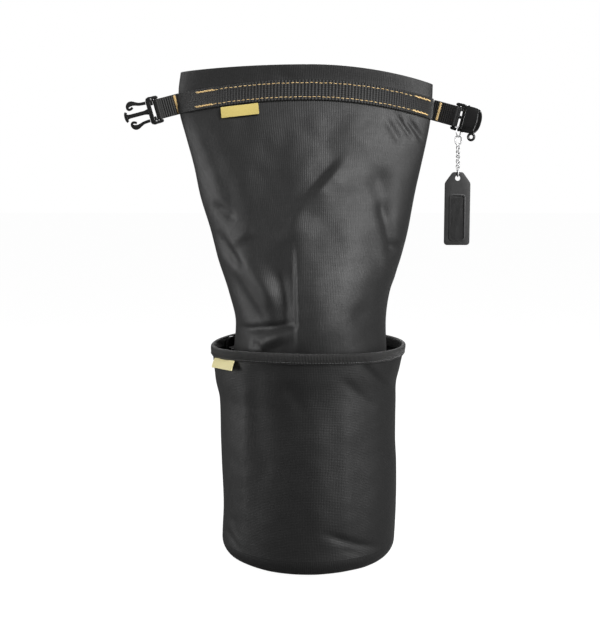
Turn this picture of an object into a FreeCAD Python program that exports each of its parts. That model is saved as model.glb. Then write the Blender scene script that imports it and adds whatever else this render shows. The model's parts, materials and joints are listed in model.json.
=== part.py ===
"""Rope storage bag: a tall cloth tube that stands in a low cylindrical bucket.

Frame: the origin is the centre of the base on the ground, +Z is up and -Y is the front.
All sizes are millimetres.
"""

import FreeCAD, Part
import math
import os

V = FreeCAD.Vector

# Fits between pieces
SEWN_GAP = 0.1  # between two layers that are sewn together
FREE_GAP = 0.3  # between two pieces that move apart
LINK_GAP = 0.1  # slack of one chain link in the next

# Bucket
BUCKET_RADIUS = 112.5
RIM_FLARE = 12.5
RIM_RADIUS = BUCKET_RADIUS + RIM_FLARE
BUCKET_HEIGHT = 272.0
FLARE_HEIGHT = 57.0  # height of the flared part below the rim
BASE_EDGE_ROUND = 22.0
BUCKET_THICK = 2.4
BINDING_WIDTH = 11.0
BINDING_THICK = 1.6
SEAM_TAPE_WIDTH = 25.0
SEAM_TAPE_THICK = 1.2

# Tube: a section's half depth follows from its half width and the cloth's girth there
TUBE_CLEARANCE = 8.73  # between the bucket's outside and the round part of the tube
TUBE_THICK = 1.2
SIDE_TAPE_WIDTH = 14.0
SIDE_TAPE_THICK = 1.0
ROUND_TOP = 200.0  # the tube is round up to here
WAIST_RISE = 18.0  # from the rim to the waist
WAIST_INSET = 16.5
WAIST_HEIGHT = BUCKET_HEIGHT + WAIST_RISE
WAIST_HALF_WIDTH = BUCKET_RADIUS - WAIST_INSET

# Mouth: the flattened top of the tube, with an arched edge
MOUTH_HEIGHT = 623.0
MOUTH_HALF_WIDTH = 161.0
MOUTH_FULLNESS = 8.0  # the mouth's girth beyond twice its width
LEFT_CORNER_DROP = 7.0
RIGHT_CORNER_DROP = 22.0
HEM_DEPTH = 30.0
HEM_THICK = 1.0

# Between the waist and the mouth, the tube widens and flattens
BELLY_DROP = 221.0
BELLY_INSET = 40.5
SHOULDER_DROP = 141.0
SHOULDER_INSET = 23.0
CREASE_DROP = 93.0
CREASE_INSET = 12.5
BELLY_HEIGHT = MOUTH_HEIGHT - BELLY_DROP
BELLY_HALF_WIDTH = MOUTH_HALF_WIDTH - BELLY_INSET
SHOULDER_HEIGHT = MOUTH_HEIGHT - SHOULDER_DROP
SHOULDER_HALF_WIDTH = MOUTH_HALF_WIDTH - SHOULDER_INSET
CREASE_HEIGHT = MOUTH_HEIGHT - CREASE_DROP  # the mouth folds over here
CREASE_HALF_WIDTH = MOUTH_HALF_WIDTH - CREASE_INSET

# Strap across the mouth
WEBBING_WIDTH = 25.0
WEBBING_THICK = 2.0
STRAP_DROP = 30.5  # from the mouth's edge to the strap's centreline
STRAP_LEFT_SAG = 15.0
STRAP_RIGHT_SAG = 24.0
TACK_WIDTH = 2.6
TACK_LENGTH = 21.0
TACK_THICK = 0.5
STRAP_TACK_INSET = 20.0

# Strap ends, which carry the buckle
STUB_LENGTH = 28.0
LEFT_DROOP = 15.0
LEFT_YAW = 8.0
RIGHT_DROOP = 15.5
RIGHT_YAW = 30.0
STUB_TACK_PLACE = 5.0

# Buckle
BAR_RADIUS = 2.0
BUCKLE_WIDTH = 34.0
BUCKLE_THICK = 6.4
MALE_LENGTH = 43.0
CROSSBAR_WIDTH = 5.5
WEBBING_SLOT = 3.2  # open slot between the webbing and the male crossbar
STEM_WIDTH = 4.4
STEM_THICK = 3.6
STEM_HEAD_WIDTH = 15.0
STEM_HEAD_LENGTH = 3.4
PRONG_ROOT_RADIUS = 1.8
PRONG_THICK = 5.6
PAD_HEIGHT = 3.9
FEMALE_LENGTH = 32.0
FEMALE_THICK = 12.0
FEMALE_WALL = 2.0
FEMALE_SLOT = 5.5
WINDOW_LENGTH = 11.0
CHEEK_THICK = 5.2
CHEEK_FILLET = 1.0
LUG_RADIUS = 5.5
LUG_HOLE_RADIUS = 2.2
LUG_THICK = 3.0

# Chain
RING_INNER_RADIUS = 5.6
RING_WIRE_RADIUS = 0.7
CLASP_LENGTH = 12.6
CLASP_WIDTH = 8.8
CLASP_WIRE_RADIUS = 0.8
LINK_PITCH = 5.4
LINK_WIDTH = 7.5
LINK_WIRE_RADIUS = 0.75
UPPER_LINKS = 3
LOWER_LINKS = 3
TAG_LINK_PITCH = 7.0

# Identity tag
TAG_WIDTH = 32.0
TAG_LENGTH = 91.0
TAG_THICK = 3.0
TAG_SHOULDER = 15.0
TAG_CROWN_WIDTH = 12.0
TAG_CORNER = 4.0
TAG_HOLE_RADIUS = 3.35
TAG_HOLE_DROP = 7.5
WINDOW_WIDTH = 17.0
WINDOW_HEIGHT = 55.0
WINDOW_BOTTOM_MARGIN = 7.0
WINDOW_CORNER = 2.5
FRAME_BORDER = 1.8
FRAME_HEIGHT = 0.7
CARD_RECESS = 1.4
CARD_THICK = 0.5
PANE_THICK = 0.5

# Flag labels
LABEL_LENGTH = 47.0
MOUTH_LABEL_DEPTH = 18.5
RIM_LABEL_DEPTH = 12.0
LABEL_THICK = 0.8
MOUTH_LABEL_X = -85.0
RIM_LABEL_AZIMUTH = 205.0
RIM_LABEL_LIFT = 20.0

# Ring inside the rim
INNER_RING_AZIMUTH = 151.0
INNER_RING_DROP = 15.0  # from the rim to the ring's straight bar
RING_BAR_RADIUS = 2.2
D_RING_CLEARANCE = 1.0  # between the webbing's edge and the ring's leg
TAB_LENGTH = 30.0


def save(name, shape):
    """Writes one sub-part."""
    shape.exportStep("parts/" + name + ".step")


def box(x0, x1, y0, y1, z0, z1):
    """A box between two corners."""
    return Part.makeBox(x1 - x0, y1 - y0, z1 - z0, V(x0, y0, z0))


def prism(points, z0, z1):
    """A polygon in XY, extruded along Z."""
    corners = [V(x, y, z0) for x, y in points]
    face = Part.Face(Part.makePolygon(corners + corners[:1]))
    return face.extrude(V(0, 0, z1 - z0))


def fused(shapes):
    """One solid from pieces that touch."""
    return shapes[0].multiFuse(shapes[1:]).removeSplitter()


def spun(edges, degrees=360.0):
    """A closed profile in XZ, turned about the Z axis."""
    return Part.Face(Part.Wire(edges)).revolve(V(0, 0, 0), V(0, 0, 1), degrees)


def profile(points):
    """The edges of a closed polygon of (radius, height) points in XZ."""
    corners = [V(r, 0, z) for r, z in points]
    corners.append(corners[0])
    return [Part.makeLine(p, q) for p, q in zip(corners, corners[1:])]


def frame_at(origin, u, v):
    """A placement that takes local X to u, local Y to v and local Z to u x v."""
    w = u.cross(v)
    return FreeCAD.Placement(
        FreeCAD.Matrix(
            u.x, v.x, w.x, origin.x, u.y, v.y, w.y, origin.y, u.z, v.z, w.z, origin.z, 0, 0, 0, 1
        )
    )


def placed(shape, placement):
    """A copy of the shape, taken from its local frame to the bag's frame."""
    moved = shape.copy()
    moved.Placement = placement.multiply(moved.Placement)
    return moved


def unit(azimuth):
    """The horizontal unit vector at an azimuth in degrees from +X."""
    return V(math.cos(math.radians(azimuth)), math.sin(math.radians(azimuth)), 0)


# ---- bucket ----

FLARE_START = BUCKET_HEIGHT - FLARE_HEIGHT
FLARE = V(RIM_RADIUS - BUCKET_RADIUS, 0, FLARE_HEIGHT).normalize()  # up the flared wall
FLARE_OUT = V(FLARE.z, 0, -FLARE.x)  # outward from the flared wall


def on_flare(down, out):
    """(radius, height) at a distance down the flared wall from the rim, and out of its face."""
    p = V(RIM_RADIUS, 0, BUCKET_HEIGHT) - FLARE * down + FLARE_OUT * out
    return p.x, p.z


def bucket_wall():
    """The side panel: a cylinder that flares towards the rim."""
    outer = [(BUCKET_RADIUS, BASE_EDGE_ROUND), (BUCKET_RADIUS, FLARE_START), (RIM_RADIUS, BUCKET_HEIGHT)]
    inner = [(r - BUCKET_THICK, z) for r, z in reversed(outer)]
    return spun(profile(outer + inner))


def base_outer_panel():
    """The round base, whose edge turns up to meet the side panel."""
    diagonal = math.sqrt(0.5)
    small = BASE_EDGE_ROUND - BUCKET_THICK

    def on_edge(radius, side):
        return V(BASE_FLAT_RADIUS + radius * side, 0, BASE_EDGE_ROUND - radius * math.sqrt(1 - side * side))

    outside = Part.Arc(on_edge(BASE_EDGE_ROUND, 0), on_edge(BASE_EDGE_ROUND, diagonal), on_edge(BASE_EDGE_ROUND, 1))
    inside = Part.Arc(on_edge(small, 1), on_edge(small, diagonal), on_edge(small, 0))
    edges = [
        Part.makeLine(V(0, 0, 0), on_edge(BASE_EDGE_ROUND, 0)),
        outside.toShape(),
        Part.makeLine(on_edge(BASE_EDGE_ROUND, 1), on_edge(small, 1)),
        inside.toShape(),
        Part.makeLine(on_edge(small, 0), V(0, 0, BUCKET_THICK)),
        Part.makeLine(V(0, 0, BUCKET_THICK), V(0, 0, 0)),
    ]
    return spun(edges)


def base_seam_tape():
    """Binding tape on the inside of the seam between the base and the side panel."""
    outer = BUCKET_RADIUS - BUCKET_THICK - SEWN_GAP
    inner = outer - SEAM_TAPE_THICK
    top = BASE_EDGE_ROUND + SEAM_TAPE_WIDTH / 2
    return spun(profile([(inner, BASE_EDGE_ROUND), (outer, BASE_EDGE_ROUND), (outer, top), (inner, top)]))


def rim_binding():
    """Tape folded over the rim."""
    outer = SEWN_GAP + BINDING_THICK
    wall = BUCKET_THICK * FLARE.z
    points = [
        on_flare(BINDING_WIDTH, SEWN_GAP),
        on_flare(BINDING_WIDTH, outer),
        on_flare(-outer, outer),
        on_flare(-outer, -wall - outer),
        on_flare(BINDING_WIDTH, -wall - outer),
        on_flare(BINDING_WIDTH, -wall - SEWN_GAP),
        on_flare(-SEWN_GAP, -wall - SEWN_GAP),
        on_flare(-SEWN_GAP, SEWN_GAP),
    ]
    return spun(profile(points))


def bucket_seam_tape():
    """Tape over the side panel's upright seam, at the back."""
    near = SEWN_GAP
    far = SEWN_GAP + SEAM_TAPE_THICK
    top = BINDING_WIDTH + FREE_GAP
    points = [
        (BUCKET_RADIUS + near, BASE_EDGE_ROUND),
        (BUCKET_RADIUS + far, BASE_EDGE_ROUND),
        (BUCKET_RADIUS + far, FLARE_START),
        on_flare(top, far),
        on_flare(top, near),
        (BUCKET_RADIUS + near, FLARE_START),
    ]
    spread = math.degrees(SEAM_TAPE_WIDTH / BUCKET_RADIUS)
    tape = spun(profile(points), spread)
    tape.rotate(V(0, 0, 0), V(0, 0, 1), 90 - spread / 2)
    return tape


# ---- tube ----

ROUND_RADIUS = BUCKET_RADIUS - TUBE_CLEARANCE
BASE_FLAT_RADIUS = BUCKET_RADIUS - BASE_EDGE_ROUND
EDGE_CLEAR = BASE_EDGE_ROUND - BUCKET_THICK - SEWN_GAP  # radius that clears the upturned edge inside
TUBE_BOTTOM = BASE_EDGE_ROUND - math.sqrt(EDGE_CLEAR**2 - (ROUND_RADIUS - BASE_FLAT_RADIUS) ** 2)


def girth(half_width, half_depth):
    """The length round an ellipse, by Ramanujan's formula."""
    a, b = half_width, half_depth
    return math.pi * (3 * (a + b) - math.sqrt((3 * a + b) * (a + 3 * b)))


def cloth_girth(height):
    """The length round the cloth: the round part's up to the waist, then eased to the mouth's."""
    low = 2 * math.pi * ROUND_RADIUS
    high = 4 * MOUTH_HALF_WIDTH + MOUTH_FULLNESS
    share = (height - WAIST_HEIGHT) / (MOUTH_HEIGHT - WAIST_HEIGHT)
    return low + (high - low) * min(1, max(0, share))


def half_depth(half_width, height):
    """The half depth that gives a section of this half width the cloth's girth at a height."""
    target = cloth_girth(height)
    low, high = 0.0, target / 2
    for _ in range(60):
        middle = (low + high) / 2
        if girth(half_width, middle) < target:
            low = middle
        else:
            high = middle
    return low


def section(height, half_width, grow):
    """The tube's oval at a height, grown or shrunk all round."""
    depth = half_depth(half_width, height)
    squash = FreeCAD.Matrix()
    squash.scale(half_width + grow, depth + grow, 1)
    squash.move(V(0, 0, height))
    return Part.Wire(Part.makeCircle(1).transformGeometry(squash).Edges)


def tube_solid(grow):
    """The filled tube below the crease: round in the bucket, then ever flatter."""
    heights = [ROUND_TOP, WAIST_HEIGHT, BELLY_HEIGHT, SHOULDER_HEIGHT, CREASE_HEIGHT]
    widths = [ROUND_RADIUS, WAIST_HALF_WIDTH, BELLY_HALF_WIDTH, SHOULDER_HALF_WIDTH, CREASE_HALF_WIDTH]
    upper = Part.makeLoft([section(z, a, grow) for z, a in zip(heights, widths)], True, False)
    round_ends = [section(z, ROUND_RADIUS, grow) for z in (TUBE_BOTTOM, ROUND_TOP)]
    return upper.fuse(Part.makeLoft(round_ends, True, True))


MOUTH_BOTTOM = CREASE_HEIGHT + FREE_GAP
CREASE_HALF_DEPTH = half_depth(CREASE_HALF_WIDTH, CREASE_HEIGHT)
MOUTH_HALF_DEPTH = half_depth(MOUTH_HALF_WIDTH, MOUTH_HEIGHT)


def mouth_solid(grow):
    """The filled mouth: straight sides from the crease to the edge."""
    bottom = section(MOUTH_BOTTOM, CREASE_HALF_WIDTH, grow)
    top = section(MOUTH_HEIGHT, MOUTH_HALF_WIDTH, grow)
    return Part.makeLoft([bottom, top], True, True)


def shell(solid, inner, outer):
    """The layer between two offsets of a tube or mouth."""
    return solid(outer).cut(solid(inner))


REACH = 2 * MOUTH_HALF_WIDTH  # past the sides of every piece
FRONT_HALF = box(-REACH, REACH, -REACH, 0, -REACH, 2 * MOUTH_HEIGHT)
BACK_HALF = box(-REACH, REACH, 0, REACH, -REACH, 2 * MOUTH_HEIGHT)


def arch_arc(lowered):
    """The mouth's arched edge, lowered by a distance."""
    left = V(-MOUTH_HALF_WIDTH - WEBBING_THICK, 0, MOUTH_HEIGHT - LEFT_CORNER_DROP - lowered)
    right = V(MOUTH_HALF_WIDTH + WEBBING_THICK, 0, MOUTH_HEIGHT - RIGHT_CORNER_DROP - lowered)
    return Part.Arc(left, V(0, 0, MOUTH_HEIGHT - lowered), right)


def below_arch(lowered):
    """Everything below the arched edge."""
    arc = arch_arc(lowered).toShape()
    left, right = arc.Vertexes[0].Point, arc.Vertexes[-1].Point
    floor = V(0, 0, -left.z)
    low = V(0, 0, -right.z)
    outline = [
        arc,
        Part.makeLine(right, right + low),
        Part.makeLine(right + low, left + floor),
        Part.makeLine(left + floor, left),
    ]
    face = Part.Face(Part.Wire(outline))
    face.translate(V(0, -REACH, 0))
    return face.extrude(V(0, 2 * REACH, 0))


def side_band(solid, inner, outer, side):
    """A strip of a layer along one side seam."""
    half = SIDE_TAPE_WIDTH / 2
    region = box(min(0, side * REACH), max(0, side * REACH), -half, half, 0, 2 * MOUTH_HEIGHT)
    return shell(solid, inner, outer).common(region)


def tube_base_panel():
    """The disc that closes the tube's lower end."""
    radius = ROUND_RADIUS - TUBE_THICK - SEWN_GAP
    return Part.makeCylinder(radius, TUBE_THICK, V(0, 0, TUBE_BOTTOM))


def base_stiffener():
    """The foam disc between the bucket's base and the tube's base."""
    return Part.makeCylinder(BASE_FLAT_RADIUS, TUBE_BOTTOM - BUCKET_THICK, V(0, 0, BUCKET_THICK))


def make_tube():
    """The tube's two panels and the tapes inside its side seams."""
    wall = shell(tube_solid, -TUBE_THICK, 0)
    save("tube_front_panel", wall.common(FRONT_HALF))
    save("tube_back_panel", wall.common(BACK_HALF))
    outer = -TUBE_THICK - SEWN_GAP
    above_floor = TUBE_BOTTOM + TUBE_THICK
    clear = box(-REACH, REACH, -REACH, REACH, above_floor, CREASE_HEIGHT)
    for name, side in (("left", -1), ("right", 1)):
        tape = side_band(tube_solid, outer - SIDE_TAPE_THICK, outer, side)
        save("tube_seam_tape_" + name, tape.common(clear))


def make_mouth():
    """The mouth's two panels, its hem facings and the tapes inside its side seams."""
    wall = shell(mouth_solid, -TUBE_THICK, 0).common(below_arch(0))
    save("mouth_front_panel", wall.common(FRONT_HALF))
    save("mouth_back_panel", wall.common(BACK_HALF))
    hem_outer = -TUBE_THICK - SEWN_GAP
    facing = shell(mouth_solid, hem_outer - HEM_THICK, hem_outer)
    facing = facing.common(below_arch(0)).cut(below_arch(HEM_DEPTH))
    save("mouth_hem_front", facing.common(FRONT_HALF))
    save("mouth_hem_back", facing.common(BACK_HALF))
    low = below_arch(HEM_DEPTH + FREE_GAP)
    tapes = []
    for side in (-1, 1):
        tapes.append(side_band(mouth_solid, hem_outer - SIDE_TAPE_THICK, hem_outer, side).common(low))
    save("mouth_seam_tapes", Part.makeCompound(tapes))


# ---- strap across the mouth ----

STRAP_NEAR = SEWN_GAP
STRAP_FAR = STRAP_NEAR + WEBBING_THICK


def mouth_half(height, low, high):
    """A half width or half depth of the mouth at a height."""
    return low + (high - low) * (height - MOUTH_BOTTOM) / (MOUTH_HEIGHT - MOUTH_BOTTOM)


def mouth_half_width(height):
    return mouth_half(height, CREASE_HALF_WIDTH, MOUTH_HALF_WIDTH)


def mouth_half_depth(height):
    return mouth_half(height, CREASE_HALF_DEPTH, MOUTH_HALF_DEPTH)


STRAP_HEIGHT = MOUTH_HEIGHT - STRAP_DROP
LEFT_END_HEIGHT = STRAP_HEIGHT - STRAP_LEFT_SAG
RIGHT_END_HEIGHT = STRAP_HEIGHT - STRAP_RIGHT_SAG
STRAP_ENDS = [
    V(-mouth_half_width(LEFT_END_HEIGHT) - STRAP_FAR, 0, LEFT_END_HEIGHT),
    V(mouth_half_width(RIGHT_END_HEIGHT) + STRAP_FAR, 0, RIGHT_END_HEIGHT),
]
STRAP_CIRCLE = Part.Arc(STRAP_ENDS[0], V(0, 0, STRAP_HEIGHT), STRAP_ENDS[1]).toShape().Curve


def strap_disc(offset):
    """Everything inside the strap's centreline circle, grown by an offset."""
    centre = STRAP_CIRCLE.Center
    foot = V(centre.x, -REACH, centre.z)
    return Part.makeCylinder(STRAP_CIRCLE.Radius + offset, 2 * REACH, foot, V(0, 1, 0))


def strap_band(half_width):
    """The arched band that the strap covers, right through the mouth."""
    return strap_disc(half_width).cut(strap_disc(-half_width))


def strap_height(x):
    """The height of the strap's centreline."""
    centre = STRAP_CIRCLE.Center
    return centre.z + math.sqrt(STRAP_CIRCLE.Radius**2 - (x - centre.x) ** 2)


def make_strap():
    """The webbing sewn along the front of the mouth, and the bar tacks near its ends."""
    layer = shell(mouth_solid, STRAP_NEAR, STRAP_FAR).common(FRONT_HALF)
    save("mouth_strap", layer.common(strap_band(WEBBING_WIDTH / 2)))
    thread = shell(mouth_solid, STRAP_FAR + SEWN_GAP, STRAP_FAR + SEWN_GAP + TACK_THICK)
    thread = thread.common(FRONT_HALF).common(strap_band(TACK_LENGTH / 2))
    tacks = []
    for side in (-1, 1):
        x = side * (CREASE_HALF_WIDTH - STRAP_TACK_INSET)
        column = box(x, x + TACK_WIDTH, -REACH, 0, 0, MOUTH_HEIGHT)
        tacks.append(thread.common(column))
    save("strap_end_tacks", Part.makeCompound(tacks))


# ---- strap ends ----

STUB_HALF = WEBBING_THICK + SEWN_GAP  # half thickness of the doubled webbing
LOOP_HOLE = BAR_RADIUS + FREE_GAP
LOOP_OUTER = LOOP_HOLE + WEBBING_THICK


def strap_end_frame(side, end_height, droop, yaw):
    """The root, outward axis and upward axis of a strap end."""
    tilt = math.radians(droop)
    turn = math.radians(yaw)
    heading = V(side * math.cos(turn), -math.sin(turn), 0)
    u = heading * math.cos(tilt) - V(0, 0, math.sin(tilt))
    v = heading * math.sin(tilt) + V(0, 0, math.cos(tilt))
    rise = math.cos(tilt) * WEBBING_WIDTH / 2
    lean = math.sin(tilt) * math.cos(turn) * WEBBING_WIDTH / 2
    edge = max(mouth_half_width(end_height - rise) + lean, mouth_half_width(end_height + rise) - lean)
    root = V(side * (edge + STRAP_FAR + FREE_GAP + STUB_HALF), 0, end_height)
    return root, u, v


LEFT_ROOT, LEFT_U, LEFT_V = strap_end_frame(-1, LEFT_END_HEIGHT, LEFT_DROOP, LEFT_YAW)
RIGHT_ROOT, RIGHT_U, RIGHT_V = strap_end_frame(1, RIGHT_END_HEIGHT, RIGHT_DROOP, RIGHT_YAW)
LEFT_BAR = LEFT_ROOT + LEFT_U * STUB_LENGTH
RIGHT_BAR = RIGHT_ROOT + RIGHT_U * STUB_LENGTH


def upright(radius, x):
    """A round bar along local Y, as wide as the webbing."""
    return Part.makeCylinder(radius, WEBBING_WIDTH, V(x, -WEBBING_WIDTH / 2, 0), V(0, 1, 0))


def strap_end():
    """Doubled webbing that loops round a buckle's bar."""
    half = WEBBING_WIDTH / 2
    tail = box(0, STUB_LENGTH, -half, half, -STUB_HALF, STUB_HALF)
    whole = fused([upright(STUB_HALF, 0), tail, upright(LOOP_OUTER, STUB_LENGTH)])
    return whole.cut(upright(LOOP_HOLE, STUB_LENGTH))


def strap_end_tack():
    """The bar tack through a strap end, on both faces."""
    x0 = STUB_TACK_PLACE - TACK_WIDTH / 2
    x1 = STUB_TACK_PLACE + TACK_WIDTH / 2
    half = TACK_LENGTH / 2
    near = STUB_HALF
    far = STUB_HALF + TACK_THICK
    return Part.makeCompound([box(x0, x1, -half, half, -far, -near), box(x0, x1, -half, half, near, far)])


# ---- buckle ----

BUCKLE_HALF = BUCKLE_WIDTH / 2
CHEEK_INNER = WEBBING_WIDTH / 2 + FREE_GAP + SEWN_GAP
CROSSBAR_START = LOOP_OUTER + WEBBING_SLOT
CROSSBAR_END = CROSSBAR_START + CROSSBAR_WIDTH
CHEEK_START = -BAR_RADIUS - 1.2


def buckle_bar():
    """The round bar that carries the webbing, from cheek to cheek."""
    reach = (CHEEK_INNER + BUCKLE_HALF) / 2
    return Part.makeCylinder(BAR_RADIUS, 2 * reach, V(0, -reach, 0), V(0, 1, 0))


def cheek(side, end, half_thick):
    """One side of a buckle's webbing slot, with rounded edges."""
    low, high = sorted((side * CHEEK_INNER, side * BUCKLE_HALF))
    solid = box(CHEEK_START, end, low, high, -half_thick, half_thick)
    along = [e for e in solid.Edges if abs(e.tangentAt(e.FirstParameter).x) > 0.9]
    return solid.makeFillet(CHEEK_FILLET, along)


def male_buckle():
    """Webbing slot, crossbar and centre stem of the male half."""
    half_thick = BUCKLE_THICK / 2
    crossbar = box(CROSSBAR_START, CROSSBAR_END, -BUCKLE_HALF, BUCKLE_HALF, -half_thick, half_thick)
    head_start = MALE_LENGTH - STEM_HEAD_LENGTH
    stem = box(CROSSBAR_START, MALE_LENGTH, -STEM_WIDTH / 2, STEM_WIDTH / 2, -STEM_THICK / 2, STEM_THICK / 2)
    head_half = STEM_HEAD_WIDTH / 2
    head = box(head_start, MALE_LENGTH, -head_half, head_half, -STEM_THICK / 2, STEM_THICK / 2)
    cheeks = [cheek(side, CROSSBAR_END, half_thick) for side in (-1, 1)]
    return fused([buckle_bar(), crossbar, stem, head] + cheeks)


PRONG_ROOT_X = CROSSBAR_END + FREE_GAP + PRONG_ROOT_RADIUS
PRONG_ROOT_Y = BUCKLE_HALF - PAD_HEIGHT - PRONG_ROOT_RADIUS
PRONG_TIP = MALE_LENGTH - STEM_HEAD_LENGTH - 1.0


def prong(side):
    """A springy arm with a thumb pad and a hooked tip."""
    inner = PRONG_ROOT_Y - PRONG_ROOT_RADIUS
    outer = PRONG_ROOT_Y + PRONG_ROOT_RADIUS
    pad_end = PRONG_TIP - 6.4
    pad_start = pad_end - 5.6
    points = [
        (PRONG_ROOT_X, inner),
        (pad_end, inner),
        (PRONG_TIP - 0.6, inner - 1.6),
        (PRONG_TIP, inner - 0.6),
        (PRONG_TIP - 2.4, outer - 0.6),
        (pad_end + 0.4, outer),
        (pad_end, BUCKLE_HALF),
        (pad_start, BUCKLE_HALF - 0.3),
        (pad_start - 3.8, outer),
        (PRONG_ROOT_X, outer),
    ]
    arm = prism([(x, side * y) for x, y in points], -PRONG_THICK / 2, PRONG_THICK / 2)
    foot = V(PRONG_ROOT_X, side * PRONG_ROOT_Y, -PRONG_THICK / 2)
    return fused([arm, Part.makeCylinder(PRONG_ROOT_RADIUS, PRONG_THICK, foot)])


FEMALE_BODY_START = LOOP_OUTER + FEMALE_SLOT
FEMALE_CAVITY_START = FEMALE_BODY_START + 3.0


def rounded_block(x0, x1, half_width, half_thick):
    """A block along local X with a stadium section."""
    flat = half_width - half_thick
    solids = [box(x0, x1, -flat, flat, -half_thick, half_thick)]
    for side in (-1, 1):
        solids.append(Part.makeCylinder(half_thick, x1 - x0, V(x0, side * flat, 0), V(1, 0, 0)))
    return fused(solids)


def female_buckle():
    """The socket half: webbing slot, hollow body with side windows, and a small lug."""
    half_thick = FEMALE_THICK / 2
    body = rounded_block(FEMALE_BODY_START, FEMALE_LENGTH, BUCKLE_HALF, half_thick)
    cavity = rounded_block(
        FEMALE_CAVITY_START, FEMALE_LENGTH + FEMALE_WALL, BUCKLE_HALF - FEMALE_WALL, half_thick - FEMALE_WALL
    )
    window_half = half_thick - FEMALE_WALL
    windows = box(
        FEMALE_CAVITY_START,
        FEMALE_CAVITY_START + WINDOW_LENGTH,
        -BUCKLE_WIDTH,
        BUCKLE_WIDTH,
        -window_half,
        window_half,
    )
    cheeks = [cheek(side, FEMALE_BODY_START + 1, CHEEK_THICK / 2) for side in (-1, 1)]
    lug_x = FEMALE_LENGTH - LUG_RADIUS
    lug_y = -BUCKLE_HALF - LUG_HOLE_RADIUS
    lug_axis = V(0, 0, 1)
    lug_foot = V(lug_x, lug_y, -LUG_THICK / 2)
    lug = Part.makeCylinder(LUG_RADIUS, LUG_THICK, lug_foot, lug_axis)
    lug = lug.cut(box(0, 2 * FEMALE_LENGTH, -BUCKLE_HALF + FEMALE_WALL, 0, -LUG_THICK, LUG_THICK))
    lug_hole = Part.makeCylinder(LUG_HOLE_RADIUS, LUG_THICK, lug_foot, lug_axis)
    hollow = body.cut(cavity).cut(windows)
    return fused([buckle_bar(), hollow, lug] + cheeks).cut(lug_hole)


# ---- chain ----

CHEEK_MIDDLE = (CHEEK_INNER + BUCKLE_HALF) / 2
RING_PLACE = FEMALE_BODY_START - FREE_GAP - RING_WIRE_RADIUS - 1.0
RING_PIVOT = RIGHT_BAR + RIGHT_U * RING_PLACE - RIGHT_V * CHEEK_MIDDLE
RING_HEADING = V(RIGHT_U.x, RIGHT_U.y, 0).normalize()
CHEEK_CORNER = math.hypot((BUCKLE_HALF - CHEEK_INNER) / 2 - CHEEK_FILLET, CHEEK_THICK / 2 - CHEEK_FILLET)
RING_HANG = RING_INNER_RADIUS - CHEEK_CORNER - CHEEK_FILLET - LINK_GAP
RING_CENTRE = RING_PIVOT - V(0, 0, RING_HANG)
RING_BOTTOM = RING_CENTRE - V(0, 0, RING_INNER_RADIUS + RING_WIRE_RADIUS)


def chain_ring():
    """The ring through the socket half's webbing slot."""
    return Part.makeTorus(RING_INNER_RADIUS + RING_WIRE_RADIUS, RING_WIRE_RADIUS, RING_CENTRE, RING_HEADING)


def oval_link(length, width, wire_radius, top, across):
    """An oval link that hangs from its outer top, in the plane of Z and a horizontal direction."""
    radius = width / 2 - wire_radius
    straight = length - width
    upper = top - V(0, 0, width / 2)
    lower = upper - V(0, 0, straight)
    rise = V(0, 0, radius)
    side = across * radius
    edges = [
        Part.Arc(upper - side, upper + rise, upper + side).toShape(),
        Part.makeLine(upper + side, lower + side),
        Part.Arc(lower + side, lower - rise, lower - side).toShape(),
        Part.makeLine(lower - side, upper - side),
    ]
    path = Part.Wire(edges)
    start = upper - side
    ring = Part.Wire(Part.makeCircle(wire_radius, start, V(0, 0, 1)))
    return path.makePipeShell([ring], True, False)


SIDEWAYS = V(1, 0, 0)
FORWARD = V(0, 1, 0)
LINK_STEP = 2 * LINK_WIRE_RADIUS + LINK_GAP  # from a link's inner end to the next link's outer end


def link_length(pitch):
    """The outer length of a link whose neighbours are a pitch apart."""
    return pitch + 2 * LINK_WIRE_RADIUS + LINK_STEP


CLASP_TOP = RING_BOTTOM + V(0, 0, RING_WIRE_RADIUS + LINK_GAP + 2 * CLASP_WIRE_RADIUS)
CLASP_END = CLASP_TOP - V(0, 0, CLASP_LENGTH)
FIRST_LINK_TOP = CLASP_END + V(0, 0, 2 * CLASP_WIRE_RADIUS + LINK_STEP)
FIRST_LOWER_TOP = FIRST_LINK_TOP - V(0, 0, UPPER_LINKS * LINK_PITCH)
TAG_LINK_TOP = FIRST_LOWER_TOP - V(0, 0, LOWER_LINKS * LINK_PITCH)
LOWER_PIVOT = FIRST_LOWER_TOP - V(0, 0, LINK_STEP + LINK_WIRE_RADIUS)
TAG_PIVOT = TAG_LINK_TOP - V(0, 0, link_length(TAG_LINK_PITCH) - LINK_WIRE_RADIUS)


def chain_links(top, first, count):
    """A run of oval links, each a quarter turn from the one before."""
    length = link_length(LINK_PITCH)
    links = []
    for i in range(first, first + count):
        across = FORWARD if i % 2 == 0 else SIDEWAYS
        place = top - V(0, 0, (i - first) * LINK_PITCH)
        links.append(oval_link(length, LINK_WIDTH, LINK_WIRE_RADIUS, place, across))
    return Part.makeCompound(links)


# ---- identity tag ----

LINK_INNER_RADIUS = LINK_WIDTH / 2 - 2 * LINK_WIRE_RADIUS
LINK_CURVE = LINK_INNER_RADIUS - math.sqrt(LINK_INNER_RADIUS**2 - (TAG_THICK / 2) ** 2)
TAG_SEAT = LINK_WIRE_RADIUS + LINK_CURVE + LINK_GAP  # from the link's wire to the top of the tag's hole
TAG_ORIGIN = TAG_PIVOT + V(0, 0, TAG_SEAT - TAG_HOLE_RADIUS + TAG_HOLE_DROP)
TAG_FRAME = frame_at(TAG_ORIGIN, V(1, 0, 0), V(0, 0, 1))  # local X right, local Y up, local Z front
TAG_FACE = TAG_THICK / 2
WINDOW_LOW = WINDOW_BOTTOM_MARGIN - TAG_LENGTH
WINDOW_HIGH = WINDOW_LOW + WINDOW_HEIGHT


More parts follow.
